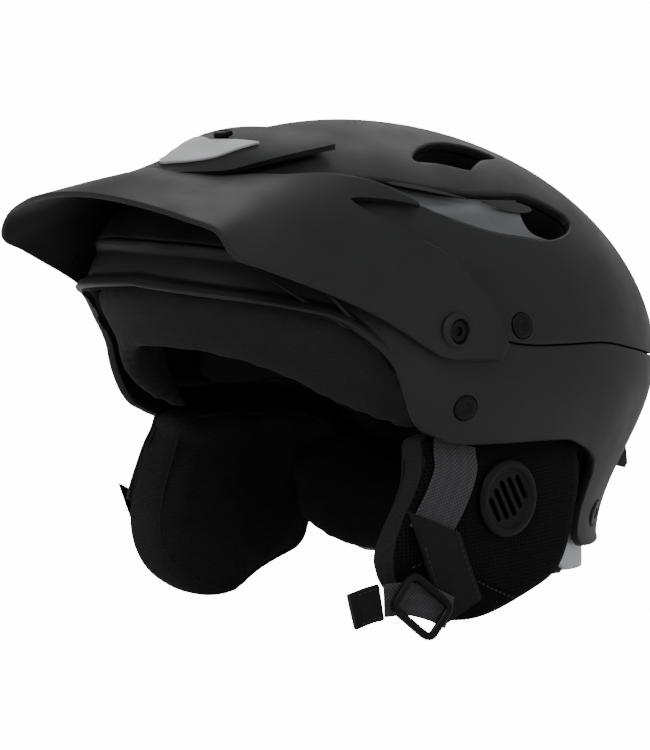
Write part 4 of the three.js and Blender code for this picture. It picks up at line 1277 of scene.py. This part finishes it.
def make_comfort_pads():
    """Brow, side, rear and crown pads, all in fleecy knit."""
    look = knit_look()
    make_pad("brow_cushion", -72, 72, BROW_LOW, BROW_HIGH, BROW_WALL, BROW_FACE, look, "helmet",
             ["brow_pad"], BROW_LEAN)
    for sign, word in SIDES:
        start, end = (80, 120) if sign > 0 else (-120, -80)
        make_pad(f"side_cushion_{word}", start, end, [(80, -22), (120, -22)], [(80, 26), (120, 26)], PAD_WALL,
                 PAD_FACE, look, "helmet", [f"side_pad_{word}"])
    make_pad("rear_cushion", 132, 228, [(132, -40), (180, -48)], [(132, 24), (180, 24)], PAD_WALL, PAD_FACE, look,
             "helmet", ["rear_pad"])
    t, heading = np.meshgrid(np.linspace(0, 1, 24), np.linspace(0, 360, 73)[:-1], indexing="ij")
    tilt = 90 - 20.5 * np.minimum(2 * t, 2 - 2 * t)
    dome = np.sqrt(np.clip(1 - np.minimum(2 * t, 2 - 2 * t) ** 3, 0, 1))
    lift = np.where(t < 0.5, -0.3 * PAD_WALL - 0.62 * PAD_WALL * dome, -0.3 * PAD_WALL + 0.25 * PAD_WALL * dome)
    crown = make_mesh("crown_cushion", skin(heading, tilt, PAD_FACE - 0.6 + lift), grid_faces(24, 72, around=True))
    puffed(crown, settings().pad_travel / MM, lambda p: kept_inside(p, PAD_FACE - 0.5), settings().pad_voxel / MM)
    piece(crown, "helmet", look, ["crown_pad"], 80)


def make_cradle():
    """The grey cradle band behind the nape, with its padded cover."""
    heading, t = np.meshgrid(np.linspace(115, 245, 121), np.linspace(0, 1, 26))
    away = np.where(heading > 180, 360 - heading, heading)
    low, high = read_along(CRADLE_LOW, away), read_along(CRADLE_HIGH, away)
    ends = 0.22 * step_up(np.abs(heading - 180), 55, 65)
    z = low + (high - low) * (ends + (1 - 2 * ends) * t)
    band = make_mesh("cradle_shell", skin(heading, tilt_of(z), -6.2), grid_faces(26, 121))
    if band.data.polygons[0].normal.dot(band.data.polygons[0].center - Vector((0, 0, -0.085))) < 0:
        band.data.flip_normals()
    thicken(band, 2.0, 0.6, 2)
    carve(band, [lathe("hole", [(0, -20), (3.4, -20), (3.4, 4), (0, 4)], DIAL, (0, 1, 0), 24)])
    look = plastic("Cradle plastic", settings().cradle_colour, 0.45, 0.6, 0.02, 0.1, 0.5, 0.05)
    piece(band, "cradle", look, ["cradle_band"])
    make_pad("nape_cushion", 104, 256, NAPE_LOW, NAPE_HIGH, 15, -9.4, knit_look(), "cradle", ["nape_pad"])


# ---- Ear pads --------------------------------------------------------------------------

EAR_SHEET = [(-122, 90), (-105, 95), (-85, 99), (-60, 101.5), (-46, 100.5), (-40, 97.8), (-30, 95.5)]
EAR_OUTLINE = [
    (-42, -31), (-47, -42), (-53, -58), (-60, -74), (-62, -88), (-56, -101), (-43, -110), (-26, -116), (-10, -116),
    (6, -111), (22, -105), (38, -97), (44.5, -84), (49, -66), (56, -52), (46, -36), (0, -30),
]
EAR_MIDDLE = np.array([-6.0, -72.0])
EAR_RIM = 4.2  # depth of the profile's front rim, which keeps its shape where the wall thins
EAR_BOW = 0.0022  # the face bows back from y = -4 by this times the square of the way
EAR_TURN_IN = 0.031  # and turns in behind y = 40 by this times the square of the way
EAR_WALL = 23.0
EAR_THINNER = 7.0
EAR_SWELL = 1.03  # the sewn case is cut this much larger than the outline, for its rounded rim
# Profile of the pad from the middle of its face round the gusset to the middle of its back: scale and depth.
EAR_PROFILE = [
    (0, 0.5), (0.3, 0.5), (0.55, 0.6), (0.75, 0.9), (0.87, 1.3), (0.94, 2.0), (0.972, 3.0), (0.985, 4.2), (0.992, 7),
    (0.985, 10), (0.96, 12.6), (0.91, 14.4), (0.82, 15.3), (0.6, 15.8), (0.3, 16), (0, 16),
]
GRILLE_PLACE_YZ = (-3.0, -61.7)
GRILLE = [(0, 0.2), (12.6, 0.2), (13.2, 0.5), (14.0, 1.7), (16.0, 1.7), (17.6, 0.5), (17.6, -2.7), (0, -2.7)]
PANEL_SEAM = [(-62, -92), (-46, -87), (-28, -92), (-6, -101), (14, -108)]  # upper edge of the smooth lower panel


def ear_face(y, z, lift=0.0):
    """Outer face of the left ear pad: bowed along its height and slightly across."""
    y = np.asarray(y, float)
    x = read_along(EAR_SHEET, z) - EAR_BOW * (y + 4) ** 2 - EAR_TURN_IN * np.maximum(y - 40, 0) ** 2 + lift
    return np.stack(np.broadcast_arrays(x, y, z), -1).astype(float)


def ear_wall(y):
    """Thickness of the ear pad: full in front, thinner behind the ear."""
    return EAR_WALL - EAR_THINNER * step_up(np.asarray(y, float), -12, 16)


def panel_depth(y, z):
    """How far a place lies under the panel seam, in millimetres."""
    return read_along(PANEL_SEAM, y) - z


def settled_on(cloth, path, window=9):
    """Moves a closed path onto the nearest points of a cloth, then smooths it with a running mean."""
    gap = np.linalg.norm(path[:, None] - cloth[None], axis=2)
    nearest = cloth[np.argmin(gap, axis=1)]
    shifts = range(-(window // 2), window // 2 + 1)
    return np.mean([np.roll(nearest, k, axis=0) for k in shifts], axis=0)


def make_ear_pads():
    """Each ear pad: rings of its outline carried round EAR_PROFILE, swollen, then pressed in under the grille and
    along its seams, with piping and stitches laid on."""
    outline = loop_spline(EAR_OUTLINE, 150)
    profile = np.array(EAR_PROFILE)
    fine = np.linspace(0, len(profile) - 1, 64)
    scale, depth = (np.interp(fine, np.arange(len(profile)), profile[:, k]) for k in (0, 1))
    ring = EAR_MIDDLE + (outline - EAR_MIDDLE) * (EAR_SWELL * scale)[:, None, None]
    behind = np.maximum(depth - EAR_RIM, 0)[:, None] / (EAR_PROFILE[-1][1] - EAR_RIM)
    fall = -np.minimum(depth, EAR_RIM)[:, None] - behind * (ear_wall(ring[..., 0]) - EAR_RIM)
    case = ear_face(ring[..., 0], ring[..., 1], fall)
    look = ear_fabric("Ear pad cloth", settings().fabric_colour, settings().knit_colour, (0.0028, 0.0028, 0.003))

    def settled(p):
        """Keeps the face at its sheet, presses the grille's seat in and pulls the cloth down along the seams."""
        x = np.abs(p[:, 0])
        drop = ear_face(p[:, 1], p[:, 2])[:, 0] - x
        reach = np.hypot(p[:, 1] - GRILLE_PLACE_YZ[0], p[:, 2] - GRILLE_PLACE_YZ[1])
        seat = 3.2 * (1 - step_up(reach, 13.5, 17.2)) * (drop < 8)
        ring_fold = 0.7 * np.exp(-(((reach - 19.2) / 1.6) ** 2)) * (drop < 8)
        seam = 0.8 * np.exp(-((panel_depth(p[:, 1], p[:, 2]) / 1.5) ** 2)) * (drop < 5)
        x = np.minimum(x, x + drop - 0.15) - seat - ring_fold - seam
        return np.stack([np.sign(p[:, 0]) * x, p[:, 1], p[:, 2]], -1)

    for sign, word in SIDES:
        pad = make_mesh(f"ear_cushion_{word}", paired(case, sign), grid_faces(64, 150, around=True))
        puffed(pad, 2.2, settled, 3.2)
        p = positions(pad.data)
        drop = ear_face(p[:, 1], p[:, 2])[:, 0] - np.abs(p[:, 0])
        reach = np.hypot(p[:, 1] - GRILLE_PLACE_YZ[0], p[:, 2] - GRILLE_PLACE_YZ[1])
        drop = np.where((reach < 19) & (drop < 8), 0, drop)
        for label, values in (("Drop", drop), ("Panel", panel_depth(p[:, 1], p[:, 2]))):
            pad.data.attributes.new(label, "FLOAT", "POINT").data.foreach_set("value", values.astype(np.float32))
        piece(pad, f"ear_{word}", look, [f"ear_pad_{word}"], 80)
        p = positions(pad.data)
        edge = EAR_MIDDLE + (outline - EAR_MIDDLE) * 0.982 * EAR_SWELL
        path = settled_on(p, paired(ear_face(edge[:, 0], edge[:, 1], -3.0), sign))
        piping = cord_on(f"ear_piping_{word}", path, (sign, 0, 0), 0.8)
        piece(piping, f"ear_{word}", knit_look(), (), 80)
        back = EAR_MIDDLE + (outline - EAR_MIDDLE) * 0.925 * EAR_SWELL
        path = settled_on(p, paired(ear_face(back[:, 0], back[:, 1], 1.3 - ear_wall(back[:, 0])), sign))
        inner = cord_on(f"ear_back_seam_{word}", path, (sign, 0, 0), 0.75)
        piece(inner, f"ear_{word}", knit_look(), (), 80)
        y = np.linspace(-53, 8, 90)
        line = ear_face(y, read_along(PANEL_SEAM, y) - 2.2, -0.25)
        row = stitches(f"ear_panel_stitches_{word}", paired(line, sign), (sign, 0, 0), 1.7, 1.3, 0.42, 0.42)
        piece(row, f"ear_{word}", thread_look(), (), 80)


def make_grilles():
    """The round ear grilles: a raised ring round a recessed plate with five slanted slots."""
    ring = rounded(GRILLE, 0.6)
    for side, word in SIDES:
        place = paired(ear_face(*GRILLE_PLACE_YZ), side)
        normal = paired((1, 0.02, -0.02), side)
        grille = lathe(f"ear_vent_{word}", ring, place, normal, 72)
        e1, e2, n = axes_at(normal)
        turn = math.radians(30 * side)
        a1, a2 = math.cos(turn) * e1 + math.sin(turn) * e2, -math.sin(turn) * e1 + math.cos(turn) * e2
        cutters = []
        for k in range(-2, 3):
            half = (19 - 2.6 * abs(k) ** 1.3) / 2
            bend = np.linspace(0, np.pi, 9)
            cap = np.stack([1.3 * np.cos(bend), half - 1.3 + 1.3 * np.sin(bend)], -1)
            flat = np.concatenate([cap, -cap]) + [4.7 * k, 0]
            corners = place + flat[:, :1] * a1 + flat[:, 1:] * a2
            rings = np.array([corners - 4 * n, corners + 4 * n])
            cutters.append(make_mesh("slot", capped(rings), grid_faces(4, len(corners), around=True)))
        carve(grille, cutters)
        piece(grille, f"ear_{word}", trim_look(), [f"ear_grille_{word}"], 40)


# ---- Straps ----------------------------------------------------------------------------


def laid_strap(name, path, width, lift, thick, side, skew=0.0, steps=70):
    """A strap laid on the ear pad's face: its section is carried along a smooth path and bowed with the face."""
    line = even_spline(path, steps)
    way = unit(np.gradient(line, axis=0))
    section = flat_section(width, thick)
    slip = skew * np.linspace(1, 0, steps)[:, None] ** 2 * section[None, :, 0] / (width / 2)
    y = line[:, None, 0] - way[:, None, 1] * section[None, :, 0] + way[:, None, 0] * slip
    z = line[:, None, 1] + way[:, None, 0] * section[None, :, 0] + way[:, None, 1] * slip
    points = ear_face(y, z, lift + thick / 2 + section[None, :, 1])
    points = capped(points)
    far = way_along(line)
    flat = np.stack([np.broadcast_to(section[:, 0], (steps, len(section))),
                     np.broadcast_to(far[:, None], (steps, len(section)))], -1)
    flat = np.concatenate([flat[:1], flat, flat[-1:]])
    return make_mesh(name, paired(points, side), grid_faces(steps + 2, len(section), around=True), flat)


FRONT_STRAP = [(-31, -35.5), (-34, -48), (-39.5, -60), (-45, -70), (-48, -76)]
KEEPER = [(-47, -70), (-42, -81), (-34.5, -96), (-25, -112)]
KEEPER_SHORT = [(-47, -70), (-42, -81), (-37, -91), (-32, -101)]


def edge_line(path, offset, lift, steps=80):
    """Line on the ear pad's face beside a path."""
    line = even_spline(path, steps)
    way = unit(np.gradient(line, axis=0))
    return ear_face(line[:, 0] - way[:, 1] * offset, line[:, 1] + way[:, 0] * offset, lift)


def make_ear_straps():
    """On each ear pad: the webbing that comes down in front, and the stitched leather keeper over it."""
    for side, word in SIDES:
        body = f"ear_{word}"
        strap = laid_strap(f"front_webbing_{word}", FRONT_STRAP, 22, 1.1, 1.5, side)
        piece(strap, body, webbing_look(), [f"front_strap_{word}"], 60)
        path = KEEPER if side > 0 else KEEPER_SHORT
        keeper = laid_strap(f"leather_keeper_{word}", path, 21, 3.2, 1.4, side, 11.0)
        piece(keeper, body, leather_look(), [f"strap_keeper_{word}"], 60)
        rows = [stitches(f"keeper_stitches_{word}", paired(edge_line(path, off, 4.62)[14:], side), (side, 0, 0), 2.1,
                         1.1, 0.35, 0.3) for off in (-8.6, 8.6)]
        piece(joined(f"keeper_stitches_{word}", rows), body, thread_look(), (), 80)


RING_PLACE = np.array([101.5, -55.5, -107.5])
RING_NORMAL = (0.98, -0.17, 0)
RING_HALF = (12.75, 9.2)
RING_TURN = -38.0
TAIL = [(99.4, -37, -111.5), (99.6, -48, -107), (97.4, -60, -104), (93.6, -71, -104.5)]
TAB = [(92.9, -72.8, -105), (91.6, -79, -106.3), (90, -87.5, -108.8)]


def make_slider():
    """The square strap ring: a bevelled bar carried round a rectangle with rounded corners."""
    e1, e2, n = axes_at(RING_NORMAL)
    turn = math.radians(RING_TURN)
    a1, a2 = math.cos(turn) * e1 + math.sin(turn) * e2, -math.sin(turn) * e1 + math.cos(turn) * e2
    flat = squircle(RING_HALF, 7, 120)
    path = RING_PLACE + flat[:, :1] * a1 + flat[:, 1:] * a2
    across, lift = frames_along(path, n, closed=True)
    section = [(1.75, -0.9), (1.75, 0.6), (1.2, 1.35), (0.3, 1.7), (-0.9, 1.7), (-1.6, 1.1), (-1.75, 0.2),
               (-1.75, -0.9), (-1.3, -1.5), (1.3, -1.5)]
    ring = swept("strap_ring", path, across, lift, section, closed=True, uv=False)
    piece(ring, "slider_left", trim_look(), ["strap_slider"], 35)


def banded(name, path, width, thick, steps=50, outwards=(1, 0, 0)):
    """A free strap: a flat section carried along a smooth path."""
    line = even_spline(path, steps)
    across, lift = frames_along(line, outwards)
    return swept(name, line, across, lift, flat_section(width, thick))


def make_strap_tail():
    """The webbing's tail behind the ring, and its rolled, stitched pull tab."""
    piece(banded("tail_webbing", TAIL, 15, 1.5), "strap_tail_left", webbing_look(), ["strap_tail"], 60)
    line = even_spline(TAB, 50)
    across, lift = frames_along(line, (1, 0, 0))
    way = way_along(line)
    t = way / way[-1]
    roll = 1 + 0.45 * np.exp(-(((t - 0.9) / 0.1) ** 2)) - 0.18 * step_up(t, 0.0, 0.25) * (1 - step_up(t, 0.7, 0.9))
    section = flat_section(17, 2.6, 1.2)
    points = line[:, None] + section[None, :, :1] * across[:, None]
    points = points + (section[None, :, 1:] * roll[:, None, None]) * lift[:, None]
    points = capped(points)
    tab = make_mesh("leather_pull_tab", points, grid_faces(52, len(section), around=True))
    piece(tab, "strap_tail_left", leather_look(), ["pull_tab"], 60)
    rows = []
    for off in (-6.6, 6.6):
        rows.append(stitches("tab_stitches", line[4:40] + across[4:40] * off + lift[4:40] * 1.14, lift[4:40], 1.8,
                             1.0, 0.32, 0.28))
    side = np.linspace(-6.4, 6.4, 20)[:, None]
    rows.append(stitches("tab_stitches", line[40] + across[40] * side + lift[40] * 1.25,
                         np.broadcast_to(lift[40], (20, 3)), 1.8, 1.0, 0.32, 0.28))
    piece(joined("tab_stitches", rows), "strap_tail_left", thread_look(), (), 80)


def make_right_strap():
    """The right strap and its flat buckle plate with a slot for the webbing."""
    strap = banded("right_webbing", [(-103, -20, -84), (-103, -20, -92), (-103, -20, -100.2)], 16, 1.5,
                   outwards=(-1, 0, 0))
    piece(strap, "chin_strap_right", webbing_look(), ["chin_strap_right"], 60)
    outline = squircle((10, 6.2), 6, 72)
    levels = [(0.0, 2.0), (0.86, 2.0), (0.96, 1.6), (1.0, 0.8), (1.0, -0.8), (0.96, -1.6), (0.86, -2.0), (0.0, -2.0)]
    rings = np.array([np.stack([np.full(72, -103.0 - h), -20 + outline[:, 0] * k, -106.6 + outline[:, 1] * k], -1)
                      for k, h in levels])
    plate = make_mesh("flat_buckle", rings, grid_faces(len(levels), 72, around=True))
    slot = [(-103, -26, -107.6), (-103, -14, -107.6), (-103, -13.4, -106.4), (-103, -14, -105.2), (-103, -26, -105.2),
            (-103, -26.6, -106.4)]
    carve(plate, [prism_cutter(slot, (-1, 0, 0), 5, 5)])
    piece(plate, "chin_strap_right", trim_look(), ["buckle_plate"], 40)


# ---- Stage -----------------------------------------------------------------------------


LIGHTS = [  # name, place in metres, side in metres, power in watts
    ("Key", (0.5, -1.5, 1.6), 1.2, 22), ("Fill", (1.9, 0.2, 0.7), 1.4, 4), ("Rim", (-0.9, 1.3, 1.5), 1.0, 7),
]
AIR = 0.62  # strength of the world's even light
PAPER_GLOW = 14.0  # lifts the paper to white where the camera sees it, without lighting the helmet
CAMERA_AIM = Vector((-0.0105, -0.0131, -0.0121))
CAMERA_BACK = Vector((0.7407, -0.6670, 0.0802))
CAMERA_DISTANCE = 8.0
CAMERA_LENS = 844.0


def soft_light(name, place, size, power):
    """A square area light at place that faces the origin."""
    light = bpy.data.lights.new(name, "AREA")
    light.shape = "SQUARE"
    light.size = size
    light.energy = power
    obj = bpy.data.objects.new(name, light)
    bpy.context.scene.collection.objects.link(obj)
    obj.location = place
    obj.rotation_mode = "QUATERNION"
    obj.rotation_quaternion = (-Vector(place)).to_track_quat("-Z", "Y")


def make_stage():
    """A pale sweep under and behind the helmet, three soft lights, a pale world and the camera."""
    lowest = CAD_BOX[0][2] - 0.0004
    away = Vector((-0.7407, 0.6670, 0.0))
    away.normalize()
    across = Vector((-away.y, away.x, 0))
    run = np.linspace(0, 1, 60)
    bend = step_up(run, 0.55, 1.0)
    reach = -3.5 + 7.0 * run
    rise = 3.2 * bend**2
    wide = np.linspace(-4, 4, 9)
    points = (np.array(away)[None, None] * reach[:, None, None] + np.array(across)[None, None] * wide[None, :, None])
    points[..., 2] = lowest + rise[:, None]
    floor = make_mesh("studio_sweep", points / MM, grid_faces(60, 9))
    faced_up(floor)
    made, tree, shader = new_material("Studio paper")
    if tree:
        place = node(tree, "ShaderNodeTexCoord").outputs["Object"]
        fine = noise(tree, place, 300.0, 2.0)
        tree.links.new(blended(tree, fine, (0.93, 0.93, 0.93, 1), (0.96, 0.96, 0.96, 1)), shader.inputs["Base Color"])
        shader.inputs["Roughness"].default_value = 0.9
        shader.inputs["Emission Color"].default_value = (1, 1, 1, 1)
        seen = node(tree, "ShaderNodeLightPath").outputs["Is Camera Ray"]
        tree.links.new(maths(tree, "MULTIPLY", seen, PAPER_GLOW), shader.inputs["Emission Strength"])
    floor.data.materials.append(made)
    smooth(floor, 60)

    world = bpy.data.worlds.new("Studio air")
    world.use_nodes = True
    world.node_tree.nodes["Background"].inputs["Color"].default_value = (1.0, 1.0, 1.0, 1.0)
    world.node_tree.nodes["Background"].inputs["Strength"].default_value = AIR
    bpy.context.scene.world = world
    for light in LIGHTS:
        soft_light(*light)

    camera = bpy.data.cameras.new("Camera")
    camera.lens = CAMERA_LENS
    camera.sensor_width = 36.0
    camera.clip_end = 60
    eye = bpy.data.objects.new("Camera", camera)
    bpy.context.scene.collection.objects.link(eye)
    eye.location = CAMERA_AIM + CAMERA_DISTANCE * CAMERA_BACK
    eye.rotation_euler = CAMERA_BACK.to_track_quat("Z", "Y").to_euler()
    bpy.context.scene.camera = eye


# ---- Operators and panel ---------------------------------------------------------------


def operator(name, label, text, work):
    """An operator class that runs one making function."""

    def execute(self, context):
        work()
        return {"FINISHED"}

    return type(f"HELMET_OT_{name}", (bpy.types.Operator,), {
        "bl_idname": f"helmet.{name}", "bl_label": label, "__doc__": text, "execute": execute,
        "bl_options": {"REGISTER"},
    })


OPERATORS = [
    operator("stage", "Stage", "Builds the studio, its lights and the camera", make_stage),
    operator("shell_upper", "Upper Shell", "Builds the dome of the shell", make_shell_upper),
    operator("shell_lower", "Lower Shell", "Builds the shell's lower wall", make_shell_lower),
    operator("scoops", "Scoops", "Builds the floors of the side scoops", make_scoops),
    operator("visor", "Visor", "Builds the peak with its tongue", make_visor),
    operator("badge", "Badge", "Builds the plain badge", make_badge),
    operator("plugs", "Plugs", "Builds the rubber plugs", make_plugs),
    operator("screws", "Screws", "Builds the visor's screws", make_screws),
    operator("dial", "Fit Dial", "Builds the fit dial", make_dial),
    operator("kept_nodes", "Kept Nodes", "Gives the frame's own pieces their finish", paint_kept_nodes),
    operator("liner", "Liner", "Builds the foam liner", make_liner),
    operator("comfort_pads", "Comfort Pads", "Sews the brow, side, rear and crown pads", make_comfort_pads),
    operator("cradle", "Cradle", "Builds the rear cradle and its pad", make_cradle),
    operator("ear_pads", "Ear Pads", "Sews the two ear pads", make_ear_pads),
    operator("grilles", "Ear Grilles", "Builds the slotted ear grilles", make_grilles),
    operator("ear_straps", "Ear Straps", "Builds the front webbing and the leather keepers", make_ear_straps),
    operator("slider", "Strap Ring", "Builds the square strap ring", make_slider),
    operator("strap_tail", "Strap Tail", "Builds the strap's tail and its pull tab", make_strap_tail),
    operator("right_strap", "Right Strap", "Builds the right strap and its buckle", make_right_strap),
]


class HELMET_PT_panel(bpy.types.Panel):
    """Lists the helmet's settings and its pieces."""

    bl_label = "Helmet"
    bl_idname = "HELMET_PT_panel"
    bl_space_type = "VIEW_3D"
    bl_region_type = "UI"
    bl_category = "Helmet"

    def draw(self, context):
        for name in HelmetSettings.__annotations__:
            self.layout.prop(settings(), name)
        for item in OPERATORS:
            self.layout.operator(item.bl_idname)


CLASSES = [HelmetSettings, *OPERATORS, HELMET_PT_panel]


def register():
    for item in CLASSES:
        bpy.utils.register_class(item)
    bpy.types.Scene.helmet_settings = PointerProperty(type=HelmetSettings)


def unregister():
    del bpy.types.Scene.helmet_settings
    for item in reversed(CLASSES):
        bpy.utils.unregister_class(item)


def main():
    register()
    for item in OPERATORS:
        getattr(bpy.ops.helmet, item.bl_idname.split(".")[1])()


if __name__ == "__main__":
    main()
